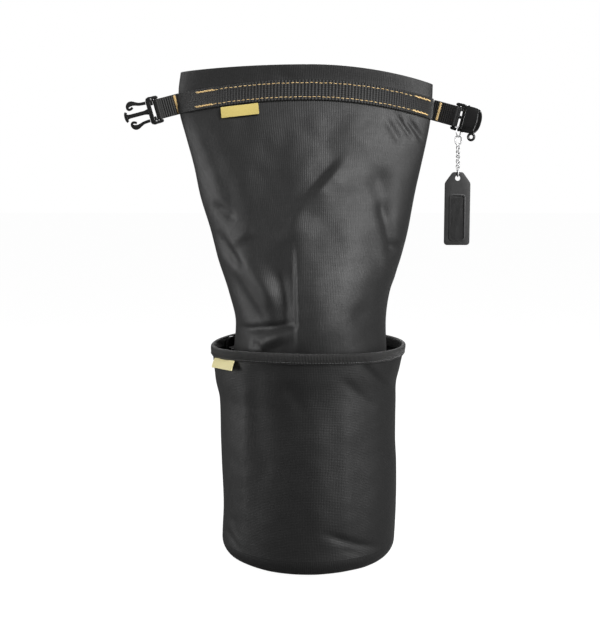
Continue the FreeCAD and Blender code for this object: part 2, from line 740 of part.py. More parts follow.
def rounded_plate(half_width, low, high, z0, z1, corner):
    """A plate in local XY with four rounded corners."""
    plate = box(-half_width, half_width, low, high, z0, z1)
    uprights = [e for e in plate.Edges if abs(e.tangentAt(e.FirstParameter).z) > 0.9]
    return plate.makeFillet(corner, uprights)


def tag_body():
    """The tag: a plate with sloping shoulders, a hole and a recess for the card."""
    half = TAG_WIDTH / 2
    plate = rounded_plate(half, -TAG_LENGTH, 0, -TAG_FACE, TAG_FACE, TAG_CORNER)
    crown = [
        (-half, -TAG_LENGTH),
        (half, -TAG_LENGTH),
        (half, -TAG_SHOULDER),
        (half * 0.82, -TAG_SHOULDER * 0.42),
        (TAG_CROWN_WIDTH / 2, 0),
        (-TAG_CROWN_WIDTH / 2, 0),
        (-half * 0.82, -TAG_SHOULDER * 0.42),
        (-half, -TAG_SHOULDER),
    ]
    plate = plate.common(prism(crown, -TAG_FACE, TAG_FACE))
    hole = Part.makeCylinder(TAG_HOLE_RADIUS, TAG_THICK, V(0, -TAG_HOLE_DROP, -TAG_FACE))
    recess = rounded_plate(
        WINDOW_WIDTH / 2, WINDOW_LOW, WINDOW_HIGH, TAG_FACE - CARD_RECESS, TAG_FACE + CARD_RECESS, WINDOW_CORNER
    )
    return plate.cut(hole).cut(recess)


def tag_frame():
    """The raised border round the window."""
    corner = WINDOW_CORNER + FRAME_BORDER
    half = WINDOW_WIDTH / 2
    low = WINDOW_LOW - FRAME_BORDER
    high = WINDOW_HIGH + FRAME_BORDER
    top = TAG_FACE + FRAME_HEIGHT
    outer = rounded_plate(half + FRAME_BORDER, low, high, TAG_FACE, top, corner)
    return outer.cut(rounded_plate(half, WINDOW_LOW, WINDOW_HIGH, TAG_FACE, top, WINDOW_CORNER))


def window_sheet(bottom, thick):
    """A sheet that lies in the tag's recess."""
    half = WINDOW_WIDTH / 2 - SEWN_GAP
    low = WINDOW_LOW + SEWN_GAP
    high = WINDOW_HIGH - SEWN_GAP
    return rounded_plate(half, low, high, bottom, bottom + thick, WINDOW_CORNER)


# ---- flag labels ----


def label_plate(depth):
    """A label that hangs along local -Y from a hinge on local X."""
    half = LABEL_LENGTH / 2
    return box(-half, half, -depth, 0, -LABEL_THICK / 2, LABEL_THICK / 2)


def mouth_label_frame():
    """Under the strap's lower edge, along the front of the mouth."""
    half = LABEL_LENGTH / 2
    lower_edge = min(strap_height(MOUTH_LABEL_X + s * half) for s in (-1, 1)) - WEBBING_WIDTH / 2
    z = lower_edge - FREE_GAP - LABEL_THICK / 2
    a, b = mouth_half_width(z), mouth_half_depth(z)
    x = MOUTH_LABEL_X
    y = -b * math.sqrt(1 - (x / a) ** 2)
    rise = MOUTH_HEIGHT - MOUTH_BOTTOM
    a_slope = (MOUTH_HALF_WIDTH - CREASE_HALF_WIDTH) / rise
    b_slope = (MOUTH_HALF_DEPTH - CREASE_HALF_DEPTH) / rise
    normal = V(x / a**2, y / b**2, -(x**2) * a_slope / a**3 - y**2 * b_slope / b**3).normalize()
    along = V(-y / b**2, x / a**2, 0).normalize()
    origin = V(x, y, z) + normal * (FREE_GAP + LABEL_THICK / 2)
    return frame_at(origin, along, normal.cross(along))


def rim_label_frame():
    """Under the rim binding, lifted away from the bucket."""
    down = BINDING_WIDTH + FREE_GAP + LABEL_THICK
    radius, z = on_flare(down, FREE_GAP + LABEL_THICK / 2)
    out = unit(RIM_LABEL_AZIMUTH)
    along = V(0, 0, 1).cross(out)
    lift = math.radians(RIM_LABEL_LIFT)
    up = V(0, 0, math.cos(lift)) - out * math.sin(lift)
    return frame_at(out * radius + V(0, 0, z), along, up)


MOUTH_LABEL_FRAME = mouth_label_frame()
RIM_LABEL_FRAME = rim_label_frame()


# ---- ring inside the rim ----

RING_LOOP_HOLE = RING_BAR_RADIUS + FREE_GAP
RING_LOOP_OUTER = RING_LOOP_HOLE + WEBBING_THICK
D_RADIUS = WEBBING_WIDTH / 2 + D_RING_CLEARANCE + RING_BAR_RADIUS


def inner_ring_frame():
    """Local X along the rim, local Y up the flared wall, local Z into the bucket."""
    wall = BUCKET_THICK * FLARE.z
    radius, z = on_flare(INNER_RING_DROP, -wall)
    flat = math.sqrt(radius**2 - (WEBBING_WIDTH / 2) ** 2) - FREE_GAP
    out = unit(INNER_RING_AZIMUTH)
    up = out * FLARE.x + V(0, 0, FLARE.z)
    inward = V(0, 0, FLARE.x) - out * FLARE.z
    return frame_at(out * flat + V(0, 0, z), up.cross(inward), up)


INNER_RING_FRAME = inner_ring_frame()


def inner_ring_tab():
    """Doubled webbing sewn inside the wall, looped round the ring's bar."""
    half = WEBBING_WIDTH / 2
    tail = box(-half, half, -TAB_LENGTH, 0, 0, 2 * WEBBING_THICK)
    bar_z = RING_LOOP_OUTER
    loop = Part.makeCylinder(RING_LOOP_OUTER, WEBBING_WIDTH, V(-half, 0, bar_z), V(1, 0, 0))
    hole = Part.makeCylinder(RING_LOOP_HOLE, WEBBING_WIDTH, V(-half, 0, bar_z), V(1, 0, 0))
    return fused([tail, loop]).cut(hole)


def inner_ring_tack():
    """The bar tack across the tab."""
    half = TACK_LENGTH / 2
    y = -TAB_LENGTH / 2
    z = 2 * WEBBING_THICK
    return box(-half, half, y, y + TACK_WIDTH, z, z + TACK_THICK)


def inner_ring():
    """A D-shaped ring that leans on the wall, its straight bar at the bottom."""
    z = RING_LOOP_OUTER
    left, right = V(-D_RADIUS, 0, z), V(D_RADIUS, 0, z)
    bow = Part.makeTorus(D_RADIUS, RING_BAR_RADIUS, V(0, 0, z), V(0, 0, 1))
    bow = bow.common(box(-REACH, REACH, 0, REACH, -REACH, REACH))
    bar = Part.makeCylinder(RING_BAR_RADIUS, 2 * D_RADIUS, left, V(1, 0, 0))
    corners = [Part.makeSphere(RING_BAR_RADIUS, point) for point in (left, right)]
    return fused([bow, bar] + corners)


# ---- all sub-parts ----


def make_bucket():
    save("bucket_wall", bucket_wall())
    save("base_outer_panel", base_outer_panel())
    save("base_seam_tape", base_seam_tape())
    save("rim_binding", rim_binding())
    save("bucket_seam_tape", bucket_seam_tape())
    save("tube_base_panel", tube_base_panel())
    save("base_stiffener", base_stiffener())
    save("inner_ring_tab", placed(inner_ring_tab(), INNER_RING_FRAME))
    save("inner_ring_tack", placed(inner_ring_tack(), INNER_RING_FRAME))
    save("inner_ring", placed(inner_ring(), INNER_RING_FRAME))


def make_strap_ends():
    left = frame_at(LEFT_ROOT, LEFT_U, LEFT_V)
    right = frame_at(RIGHT_ROOT, RIGHT_U, RIGHT_V)
    for name, frame in (("left", left), ("right", right)):
        save(name + "_strap_end", placed(strap_end(), frame))
        save(name + "_bar_tack", placed(strap_end_tack(), frame))


def make_buckle():
    left = frame_at(LEFT_BAR, LEFT_U, LEFT_V)
    right = frame_at(RIGHT_BAR, RIGHT_U, RIGHT_V)
    save("male_buckle", placed(male_buckle(), left))
    save("upper_prong", placed(prong(1), left))
    save("lower_prong", placed(prong(-1), left))
    save("female_buckle", placed(female_buckle(), right))


def make_chain():
    save("chain_ring", chain_ring())
    save("chain_clasp", oval_link(CLASP_LENGTH, CLASP_WIDTH, CLASP_WIRE_RADIUS, CLASP_TOP, SIDEWAYS))
    save("chain_upper_links", chain_links(FIRST_LINK_TOP, 0, UPPER_LINKS))
    save("chain_lower_links", chain_links(FIRST_LOWER_TOP, UPPER_LINKS, LOWER_LINKS))
    save("tag_link", oval_link(link_length(TAG_LINK_PITCH), LINK_WIDTH, LINK_WIRE_RADIUS, TAG_LINK_TOP, FORWARD))


def make_tag():
    card_bottom = TAG_FACE - CARD_RECESS
    save("tag_body", placed(tag_body(), TAG_FRAME))
    save("tag_frame", placed(tag_frame(), TAG_FRAME))
    save("tag_card", placed(window_sheet(card_bottom, CARD_THICK), TAG_FRAME))
    save("tag_window", placed(window_sheet(card_bottom + CARD_THICK, PANE_THICK), TAG_FRAME))


def make_labels():
    save("mouth_label", placed(label_plate(MOUTH_LABEL_DEPTH), MOUTH_LABEL_FRAME))
    save("rim_label", placed(label_plate(RIM_LABEL_DEPTH), RIM_LABEL_FRAME))


os.makedirs("parts", exist_ok=True)
make_bucket()
make_tube()
make_mouth()
make_strap()
make_strap_ends()
make_buckle()
make_chain()
make_tag()
make_labels()
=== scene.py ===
"""Dresses the rope storage bag: cloth, webbing, stitching, buckle, chain and tag."""

import functools
import json
import math

import bmesh
import bpy
from mathutils import Matrix, Vector, noise


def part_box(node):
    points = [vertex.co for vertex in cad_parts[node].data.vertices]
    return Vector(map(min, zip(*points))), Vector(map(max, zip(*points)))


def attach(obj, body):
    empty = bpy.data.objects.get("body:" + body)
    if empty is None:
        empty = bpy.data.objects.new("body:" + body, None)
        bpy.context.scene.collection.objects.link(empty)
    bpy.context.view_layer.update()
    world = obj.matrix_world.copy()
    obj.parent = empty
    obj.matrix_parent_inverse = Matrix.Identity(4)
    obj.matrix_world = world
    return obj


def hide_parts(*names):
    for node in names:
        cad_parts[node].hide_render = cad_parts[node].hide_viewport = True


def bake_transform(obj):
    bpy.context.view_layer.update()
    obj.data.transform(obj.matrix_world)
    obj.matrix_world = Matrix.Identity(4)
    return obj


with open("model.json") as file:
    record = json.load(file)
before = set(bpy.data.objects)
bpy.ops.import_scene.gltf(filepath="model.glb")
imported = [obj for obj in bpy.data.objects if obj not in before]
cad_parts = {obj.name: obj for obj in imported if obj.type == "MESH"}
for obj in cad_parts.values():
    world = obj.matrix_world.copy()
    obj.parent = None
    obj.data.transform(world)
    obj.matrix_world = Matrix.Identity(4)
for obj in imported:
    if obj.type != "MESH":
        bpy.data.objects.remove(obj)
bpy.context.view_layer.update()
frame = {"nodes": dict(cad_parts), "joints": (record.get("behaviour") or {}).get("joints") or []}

TAU = 2 * math.pi
JOINTS = {j["name"]: j for j in frame["joints"]}


def joint_place(name):
    return Vector(JOINTS[name]["pos_m"])


def joint_axis(name):
    return Vector(JOINTS[name]["axis"]).normalized()


# ---------------------------------------------------------------- camera and light


FLOOR_TONE = 0.16
FLOOR_GLOW = 0.968
WORLD_LIGHT = 0.1


def add_camera():
    """A viewpoint a little above the middle of the bag, looking slightly down."""
    camera = bpy.data.cameras.new("camera")
    camera.lens = 64.0
    camera.sensor_width = 36.0
    seat = bpy.data.objects.new("camera", camera)
    seat.location = (-0.0108, -1.45, 0.484)
    seat.rotation_euler = (math.radians(90 - 7.1), 0, 0)
    bpy.context.scene.collection.objects.link(seat)
    bpy.context.scene.camera = seat
    bpy.context.scene.view_settings.view_transform = "Standard"


def add_softbox(name, place, target, width, height, power):
    """A rectangular lamp that faces a point."""
    lamp = bpy.data.lights.new(name, "AREA")
    lamp.shape = "RECTANGLE"
    lamp.size = width
    lamp.size_y = height
    lamp.energy = power
    seat = bpy.data.objects.new(name, lamp)
    seat.location = place
    aim = Vector(target) - Vector(place)
    seat.rotation_euler = aim.to_track_quat("-Z", "Y").to_euler()
    bpy.context.scene.collection.objects.link(seat)


def add_lights():
    add_softbox("key_softbox", (1.15, -0.92, 0.62), (0.03, 0, 0.35), 0.45, 1.5, 22)
    add_softbox("high_key_softbox", (0.75, -1.0, 1.5), (0.03, 0, 0.42), 0.8, 0.6, 27)
    add_softbox("left_strip", (-1.5, -0.12, 0.5), (-0.05, 0, 0.3), 0.4, 1.3, 18)
    add_softbox("back_softbox", (0.2, 1.4, 1.3), (0, 0, 0.4), 1.2, 0.6, 12)


def add_world():
    """White to the camera and through clear pieces, plain grey as a light."""
    world = bpy.data.worlds.new("studio")
    bpy.context.scene.world = world
    world.use_nodes = True
    tree = world.node_tree
    tree.nodes.clear()
    rays = tree.nodes.new("ShaderNodeLightPath")
    seen = tree.nodes.new("ShaderNodeMath")
    seen.operation = "MAXIMUM"
    tree.links.new(rays.outputs["Is Camera Ray"], seen.inputs[0])
    tree.links.new(rays.outputs["Is Transmission Ray"], seen.inputs[1])
    white = tree.nodes.new("ShaderNodeBackground")
    white.inputs["Strength"].default_value = 1.0
    white.inputs["Color"].default_value = (1, 1, 1, 1)
    grey = tree.nodes.new("ShaderNodeBackground")
    grey.inputs["Strength"].default_value = WORLD_LIGHT
    grey.inputs["Color"].default_value = (1, 1, 1, 1)
    mix = tree.nodes.new("ShaderNodeMixShader")
    tree.links.new(seen.outputs[0], mix.inputs[0])
    tree.links.new(grey.outputs[0], mix.inputs[1])
    tree.links.new(white.outputs[0], mix.inputs[2])
    out = tree.nodes.new("ShaderNodeOutputWorld")
    tree.links.new(mix.outputs[0], out.inputs["Surface"])


def add_floor():
    """A pale floor that keeps the bag's soft shadow."""
    bpy.ops.mesh.primitive_plane_add(size=30, location=(0, 0, -0.0005))
    floor = bpy.context.object
    floor.name = "floor"
    material = bpy.data.materials.new("floor")
    material.use_nodes = True
    tree = material.node_tree
    tree.nodes.clear()
    rays = tree.nodes.new("ShaderNodeLightPath")
    diffuse = tree.nodes.new("ShaderNodeBsdfDiffuse")
    diffuse.inputs["Color"].default_value = (FLOOR_TONE, FLOOR_TONE, FLOOR_TONE, 1)
    glow = tree.nodes.new("ShaderNodeEmission")
    glow.inputs["Color"].default_value = (1, 1, 1, 1)
    glow.inputs["Strength"].default_value = FLOOR_GLOW
    both = tree.nodes.new("ShaderNodeAddShader")
    tree.links.new(diffuse.outputs[0], both.inputs[0])
    tree.links.new(glow.outputs[0], both.inputs[1])
    mix = tree.nodes.new("ShaderNodeMixShader")
    tree.links.new(rays.outputs["Is Camera Ray"], mix.inputs[0])
    tree.links.new(diffuse.outputs[0], mix.inputs[1])
    tree.links.new(both.outputs[0], mix.inputs[2])
    out = tree.nodes.new("ShaderNodeOutputMaterial")
    tree.links.new(mix.outputs[0], out.inputs["Surface"])
    floor.data.materials.append(material)


# ---------------------------------------------------------------- material kit


class Recipe:
    """A small helper that adds and links the nodes of one material."""

    def __init__(self, name):
        self.material = bpy.data.materials.new(name)
        self.material.use_nodes = True
        self.tree = self.material.node_tree
        self.shader = self.tree.nodes["Principled BSDF"]
        self.coords = self.tree.nodes.new("ShaderNodeTexCoord")

    def add(self, kind, **values):
        node = self.tree.nodes.new(kind)
        for key, value in values.items():
            setattr(node, key, value)
        return node

    def link(self, source, target):
        self.tree.links.new(source, target)

    def place(self, scale, source="Object", turn=(0, 0, 0)):
        """The coordinates, scaled and turned."""
        mapping = self.add("ShaderNodeMapping")
        mapping.inputs["Scale"].default_value = scale
        mapping.inputs["Rotation"].default_value = turn
        self.link(self.coords.outputs[source], mapping.inputs["Vector"])
        return mapping.outputs["Vector"]

    def noise(self, vector, scale, detail=3.0, roughness=0.55):
        node = self.add("ShaderNodeTexNoise")
        node.inputs["Scale"].default_value = scale
        node.inputs["Detail"].default_value = detail
        node.inputs["Roughness"].default_value = roughness
        self.link(vector, node.inputs["Vector"])
        return node.outputs["Fac"]

    def wave(self, vector, pitch, direction="X", distortion=0.0):
        """Bands a pitch apart."""
        node = self.add("ShaderNodeTexWave", wave_type="BANDS", bands_direction=direction)
        node.inputs["Scale"].default_value = math.pi / 10 / pitch
        node.inputs["Distortion"].default_value = distortion
        node.inputs["Detail"].default_value = 1.0
        node.inputs["Detail Scale"].default_value = 1.5
        self.link(vector, node.inputs["Vector"])
        return node.outputs["Fac"]

    def math(self, operation, first, second):
        node = self.add("ShaderNodeMath", operation=operation)
        for socket, value in zip(node.inputs, (first, second)):
            if isinstance(value, (int, float)):
                socket.default_value = value
            else:
                self.link(value, socket)
        return node.outputs[0]

    def ramp(self, factor, stops):
        node = self.add("ShaderNodeValToRGB")
        elements = node.color_ramp.elements
        elements[0].position, elements[0].color = stops[0][0], (*stops[0][1], 1)
        elements[1].position, elements[1].color = stops[-1][0], (*stops[-1][1], 1)
        for position, colour in stops[1:-1]:
            element = elements.new(position)
            element.color = (*colour, 1)
        self.link(factor, node.inputs["Fac"])
        return node.outputs["Color"]

    def bump(self, height, strength, distance):
        node = self.add("ShaderNodeBump")
        node.inputs["Strength"].default_value = strength
        node.inputs["Distance"].default_value = distance
        self.link(height, node.inputs["Height"])
        return node.outputs["Normal"]

    def finish(self, colour, roughness, normal=None, **constants):
        """Feeds the shader: links for sockets that vary, plain values for the rest."""
        self.link(colour, self.shader.inputs["Base Color"])
        if isinstance(roughness, (int, float)):
            self.shader.inputs["Roughness"].default_value = roughness
        else:
            self.link(roughness, self.shader.inputs["Roughness"])
        if normal is not None:
            self.link(normal, self.shader.inputs["Normal"])
        for key, value in constants.items():
            self.shader.inputs[key.replace("_", " ")].default_value = value
        return self.material


def grey(level, warmth=0.0):
    return (level * (1 + warmth), level, level * (1 - warmth))


def ranged(recipe, factor, low, high):
    node = recipe.add("ShaderNodeMapRange")
    node.inputs["To Min"].default_value = low
    node.inputs["To Max"].default_value = high
    recipe.link(factor, node.inputs["Value"])
    return node.outputs["Result"]


def woven_cloth(name, level, pitch, sheen):
    """Coated black nylon: a coarse plain weave on real-length UVs, with slubs and soft wear."""
    r = Recipe(name)
    flat = r.place((1, 1, 1), "UV")
    askew = r.place((1, 1, 1), "UV", (0, 0, 0.07))
    warp = r.wave(flat, pitch, "X", 0.5)
    weft = r.wave(flat, pitch, "Y", 0.8)
    weave = r.math("ADD", r.math("MULTIPLY", warp, 0.5), r.math("MULTIPLY", weft, 0.5))
    coat = r.math("MULTIPLY", r.wave(askew, pitch * 1.13, "X", 0.3), r.wave(askew, pitch * 1.1, "Y", 0.3))
    slub = r.noise(r.place((70, 700, 1), "UV"), 1.0, 2.0)
    slub_up = r.noise(r.place((700, 70, 1), "UV"), 1.0, 2.0)
    cloud = r.noise(r.place((1, 1, 1)), 9.0, 4.0, 0.6)
    tone = r.math("ADD", r.math("MULTIPLY", weave, 0.22), r.math("MULTIPLY", coat, 0.2))
    tone = r.math("ADD", tone, r.math("MULTIPLY", slub, 0.2))
    tone = r.math("ADD", tone, r.math("MULTIPLY", slub_up, 0.3))
    tone = r.math("ADD", tone, r.math("MULTIPLY", cloud, 0.16))
    colour = r.ramp(tone, [(0.2, grey(level * 0.4)), (0.5, grey(level)), (0.8, grey(level * 2.2))])
    height = r.math("MULTIPLY", weave, 0.6)
    height = r.math("ADD", height, r.math("MULTIPLY", r.math("ADD", slub, slub_up), 0.7))
    normal = r.bump(height, 0.5, 0.0005)
    rough = ranged(r, r.math("ADD", r.math("MULTIPLY", tone, 0.7), r.math("MULTIPLY", cloud, 0.3)), 0.8, 0.34)
    return r.finish(
        colour, rough, normal, Sheen_Weight=sheen, Sheen_Roughness=0.4, Specular_IOR_Level=0.5
    )


def ribbed_tape(name, level, pitch, strength=0.6):
    """Binding tape or webbing: fine ribs across its length, on real-length UVs."""
    r = Recipe(name)
    flat = r.place((1, 1, 1), "UV")
    rib = r.wave(flat, pitch, "X", 0.0)
    lane = r.wave(flat, pitch * 0.9, "Y", 0.2)
    grain = r.noise(r.place((1200, 250, 1), "UV"), 1.0, 2.0)
    tone = r.math("ADD", r.math("MULTIPLY", rib, 0.5), r.math("MULTIPLY", grain, 0.5))
    colour = r.ramp(tone, [(0.2, grey(level * 0.2)), (0.5, grey(level)), (0.85, grey(level * 2.6, 0.05))])
    height = r.math("ADD", rib, r.math("MULTIPLY", lane, 0.3))
    normal = r.bump(height, strength, 0.0006)
    return r.finish(colour, 0.6, normal, Sheen_Weight=0.15, Sheen_Roughness=0.4, Specular_IOR_Level=0.35)


def sewing_thread():
    """Twisted golden thread."""
    r = Recipe("golden_thread")
    twist = r.wave(r.place((1, 1, 1), turn=(0.5, 0.4, 0.7)), 0.0007, "X", 0.5)
    fuzz = r.noise(r.place((1, 1, 1)), 260.0, 3.0)
    tone = r.math("ADD", r.math("MULTIPLY", twist, 0.5), r.math("MULTIPLY", fuzz, 0.5))
    colour = r.ramp(tone, [(0.2, (0.42, 0.22, 0.05)), (0.5, (0.7, 0.46, 0.17)), (0.8, (0.86, 0.7, 0.38))])
    return r.finish(colour, 0.5, r.bump(twist, 0.4, 0.0003), Sheen_Weight=0.3)


def dark_thread():
    r = Recipe("dark_thread")
    fuzz = r.noise(r.place((1, 1, 1)), 300.0, 3.0)
    colour = r.ramp(fuzz, [(0.2, grey(0.012)), (0.8, grey(0.06))])
    return r.finish(colour, 0.5, r.bump(fuzz, 0.3, 0.0003), Sheen_Weight=0.3)


def yellow_label_cloth(name, dark, middle, pale):
    """Woven satin label in three shades, ribbed both ways and finely flecked."""
    r = Recipe(name)
    flat = r.place((1, 1, 1), "UV")
    rib = r.wave(flat, 0.0007, "Y", 0.4)
    cross = r.wave(flat, 0.0009, "X", 0.4)
    fleck = r.noise(r.place((1500, 500, 1), "UV"), 1.0, 2.0)
    tone = r.math("ADD", r.math("MULTIPLY", rib, 0.3), r.math("MULTIPLY", cross, 0.2))
    tone = r.math("ADD", tone, r.math("MULTIPLY", fleck, 0.5))
    colour = r.ramp(tone, [(0.2, dark), (0.5, middle), (0.85, pale)])
    return r.finish(colour, 0.48, r.bump(tone, 0.35, 0.0003), Sheen_Weight=0.1, Specular_IOR_Level=0.3)


def moulded_plastic(name, level, rough):
    """Glossy acetal with faint flow marks and fine scuffs."""
    r = Recipe(name)
    flow = r.noise(r.place((1, 1, 1)), 60.0, 4.0)
    scuff = r.noise(r.place((1, 4, 1)), 700.0, 2.0)
    colour = r.ramp(flow, [(0.3, grey(level * 0.8)), (0.7, grey(level * 1.25))])
    height = r.math("ADD", flow, r.math("MULTIPLY", scuff, 0.15))
    shine = ranged(r, scuff, rough * 0.7, rough * 1.6)
    return r.finish(colour, shine, r.bump(height, 0.12, 0.0006), Specular_IOR_Level=0.6)


def plated_steel():
    """Bright plated wire with fine drawing marks."""
    r = Recipe("plated_steel")
    drawn = r.noise(r.place((1, 1, 0.2)), 900.0, 3.0)
    colour = r.ramp(drawn, [(0.2, (0.5, 0.5, 0.51)), (0.8, (0.85, 0.85, 0.85))])
    return r.finish(colour, ranged(r, drawn, 0.12, 0.34), r.bump(drawn, 0.15, 0.0003), Metallic=0.7)


def grained_leather():
    """Dark grey leather with a pebbled grain."""
    r = Recipe("grained_leather")
    grain = r.add("ShaderNodeTexVoronoi", feature="DISTANCE_TO_EDGE")
    grain.inputs["Scale"].default_value = 900
    r.link(r.place((1, 1, 1)), grain.inputs["Vector"])
    cloud = r.noise(r.place((1, 1, 1)), 90.0, 4.0)
    tone = r.math("ADD", r.math("MULTIPLY", grain.outputs["Distance"], 0.9), r.math("MULTIPLY", cloud, 0.5))
    colour = r.ramp(tone, [(0.1, grey(0.009)), (0.5, grey(0.018)), (0.9, grey(0.034))])
    return r.finish(colour, ranged(r, cloud, 0.4, 0.6), r.bump(tone, 0.3, 0.0003), Specular_IOR_Level=0.5)


def dark_card():
    r = Recipe("dark_card")
    fibre = r.noise(r.place((1, 1, 3)), 500.0, 4.0)
    colour = r.ramp(fibre, [(0.2, grey(0.03)), (0.8, grey(0.055))])
    return r.finish(colour, 0.7, r.bump(fibre, 0.2, 0.0002))


def clear_pane():
    """Thin clear sheet with a few rubbed marks."""
    r = Recipe("clear_pane")
    rub = r.noise(r.place((1, 1, 0.3)), 220.0, 4.0)
    colour = r.ramp(rub, [(0.2, grey(0.08)), (0.8, grey(0.16))])
    material = r.finish(colour, ranged(r, rub, 0.06, 0.2), Alpha=0.22, Specular_IOR_Level=0.6)
    material.surface_render_method = "BLENDED"
    return material


def foam():
    r = Recipe("foam")
    cells = r.noise(r.place((1, 1, 1)), 600.0, 3.0)
    colour = r.ramp(cells, [(0.2, grey(0.02)), (0.8, grey(0.06))])
    return r.finish(colour, 0.85, r.bump(cells, 0.5, 0.0005))


MATERIALS = {
    "tube_cloth": woven_cloth("tube_cloth", 0.0085, 0.0019, 0.05),
    "bucket_cloth": woven_cloth("bucket_cloth", 0.0058, 0.0019, 0.04),
    "tape": ribbed_tape("binding_tape", 0.008, 0.0016),
    "webbing": ribbed_tape("webbing", 0.007, 0.0028, 0.8),
    "thread": sewing_thread(),
    "dark_thread": dark_thread(),
    "label": yellow_label_cloth("label_cloth", (0.42, 0.32, 0.085), (0.56, 0.45, 0.14), (0.66, 0.56, 0.22)),
    # A paler copy of the label cloth for the rim label: painted light, standing in for lamp light on a label
    # that faces away from the lamps.
    "label_painted_lighter": yellow_label_cloth(
        "label_cloth_painted_lighter", (0.7, 0.6, 0.28), (0.82, 0.74, 0.38), (0.9, 0.84, 0.5)
    ),
    "plastic": moulded_plastic("buckle_plastic", 0.012, 0.16),
    "metal": plated_steel(),
    "tag": grained_leather(),
    "card": dark_card(),
    "pane": clear_pane(),
    "foam": foam(),
}


# ---------------------------------------------------------------- modelling kit


def deselect():
    if bpy.context.object and bpy.context.object.mode != "OBJECT":
        bpy.ops.object.mode_set(mode="OBJECT")
    bpy.ops.object.select_all(action="DESELECT")


def apply_all(piece):
    """Applies every modifier and the object's own place."""
    deselect()
    bpy.context.view_layer.objects.active = piece
    piece.select_set(True)
    for modifier in list(piece.modifiers):
        bpy.ops.object.modifier_apply(modifier=modifier.name)
    bpy.ops.object.transform_apply(location=True, rotation=True, scale=True)


def dress(piece, name, finish, body, angle=35):
    """Names a finished piece, smooths it, gives it its material and its body."""
    piece.name = name
    piece.data.name = name
    piece.data.materials.clear()
    piece.data.materials.append(MATERIALS[finish])
    deselect()
    bpy.context.view_layer.objects.active = piece
    piece.select_set(True)
    bpy.ops.object.shade_smooth_by_angle(angle=math.radians(angle))
    if body:
        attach(piece, body)
    return piece


def sheet_mesh(across, up, place, size, closed=False):
    """A grid whose points go to place(s, t), with s and t from 0 to 1, and real-length UVs."""
    deselect()
    bpy.ops.mesh.primitive_grid_add(x_subdivisions=across, y_subdivisions=up, size=1)
    piece = bpy.context.object
    mesh = piece.data
    layer = mesh.uv_layers[0].data
    for loop in mesh.loops:
        s, t = mesh.vertices[loop.vertex_index].co.xy + Vector((0.5, 0.5))
        layer[loop.index].uv = (s * size[0], t * size[1])
    for vertex in mesh.vertices:
        s, t = vertex.co.x + 0.5, vertex.co.y + 0.5
        vertex.co = place(s, t)
    if closed:
        bpy.ops.object.mode_set(mode="EDIT")
        bpy.ops.mesh.select_all(action="SELECT")
        bpy.ops.mesh.remove_doubles(threshold=1e-6)
        bpy.ops.object.mode_set(mode="OBJECT")
    return piece


def face_outwards(piece):
    """Turns all faces of a closed piece outwards."""
    deselect()
    bpy.context.view_layer.objects.active = piece
    piece.select_set(True)
    bpy.ops.object.mode_set(mode="EDIT")
    bpy.ops.mesh.select_all(action="SELECT")
    bpy.ops.mesh.normals_make_consistent(inside=False)
    bpy.ops.object.mode_set(mode="OBJECT")


def add_modifier(piece, kind, **values):
    modifier = piece.modifiers.new(kind.lower(), kind)
    for key, value in values.items():
        setattr(modifier, key, value)
    return modifier


def plate(outline, low, high, matrix, bevel=0.0004, segments=3):
    """A flat outline in local XY, extruded from low to high and rounded, then put in its place."""
    deselect()
    bpy.ops.mesh.primitive_circle_add(vertices=len(outline), radius=1, fill_type="NGON")
    piece = bpy.context.object
    for vertex, (x, y) in zip(piece.data.vertices, outline):
        vertex.co = (x, y, low)
    bpy.ops.object.mode_set(mode="EDIT")
    bpy.ops.mesh.select_all(action="SELECT")
    bpy.ops.mesh.extrude_region_move(TRANSFORM_OT_translate={"value": (0, 0, high - low)})
    bpy.ops.object.mode_set(mode="OBJECT")
    face_outwards(piece)
    add_modifier(piece, "BEVEL", width=bevel, segments=segments, limit_method="ANGLE")
    piece.matrix_world = matrix
    apply_all(piece)
    return piece


def wire_loop(points, radius, sides):
    """Round wire along a closed line through the points."""
    curve = bpy.data.curves.new("wire", "CURVE")
    curve.dimensions = "3D"
    curve.bevel_depth = radius
    curve.bevel_resolution = max(1, sides // 4)
    curve.use_fill_caps = True
    line = curve.splines.new("POLY")
    line.points.add(len(points) - 1)
    for point, place in zip(line.points, points):
        point.co = (*place, 1)
    line.use_cyclic_u = True
    seat = bpy.data.objects.new("wire", curve)
    bpy.context.scene.collection.objects.link(seat)
    deselect()
    bpy.context.view_layer.objects.active = seat
    seat.select_set(True)
    bpy.ops.object.convert(target="MESH")
    return bpy.context.object


def joined(pieces):
    """Several meshes as one piece."""
    deselect()
    for piece in pieces:
        piece.select_set(True)
    bpy.context.view_layer.objects.active = pieces[0]
    if len(pieces) > 1:
        bpy.ops.object.join()
    return bpy.context.object


def frame_matrix(origin, u, v):
    """Local X to u, local Y to v, local Z to u x v."""
    w = u.cross(v)
    matrix = Matrix((u, v, w)).transposed().to_4x4()
    matrix.translation = origin
    return matrix


def smooth_step(low, high, value):
    share = min(1.0, max(0.0, (value - low) / (high - low)))
    return share * share * (3 - 2 * share)


def bell(distance, width):
    return math.exp(-((distance / width) ** 2))


def along_segment(x, z, start, end):
    """Share along a segment, and the signed distance from it (positive to its left)."""
    dx, dz = end[0] - start[0], end[1] - start[1]
    length = math.hypot(dx, dz)
    share = ((x - start[0]) * dx + (z - start[1]) * dz) / length**2
    side = (dx * (z - start[1]) - dz * (x - start[0])) / length
    return share, side


def taper(share, soft=0.25):
    """1 along a fold, fading past both ends."""
    return smooth_step(-soft, soft, share) * (1 - smooth_step(1 - soft, 1 + soft, share))


def crease(x, z, start, end, depth, width):
    """A soft valley (or a ridge, with a negative depth) along a segment."""
    share, side = along_segment(x, z, start, end)
    return depth * taper(share) * bell(side, width)


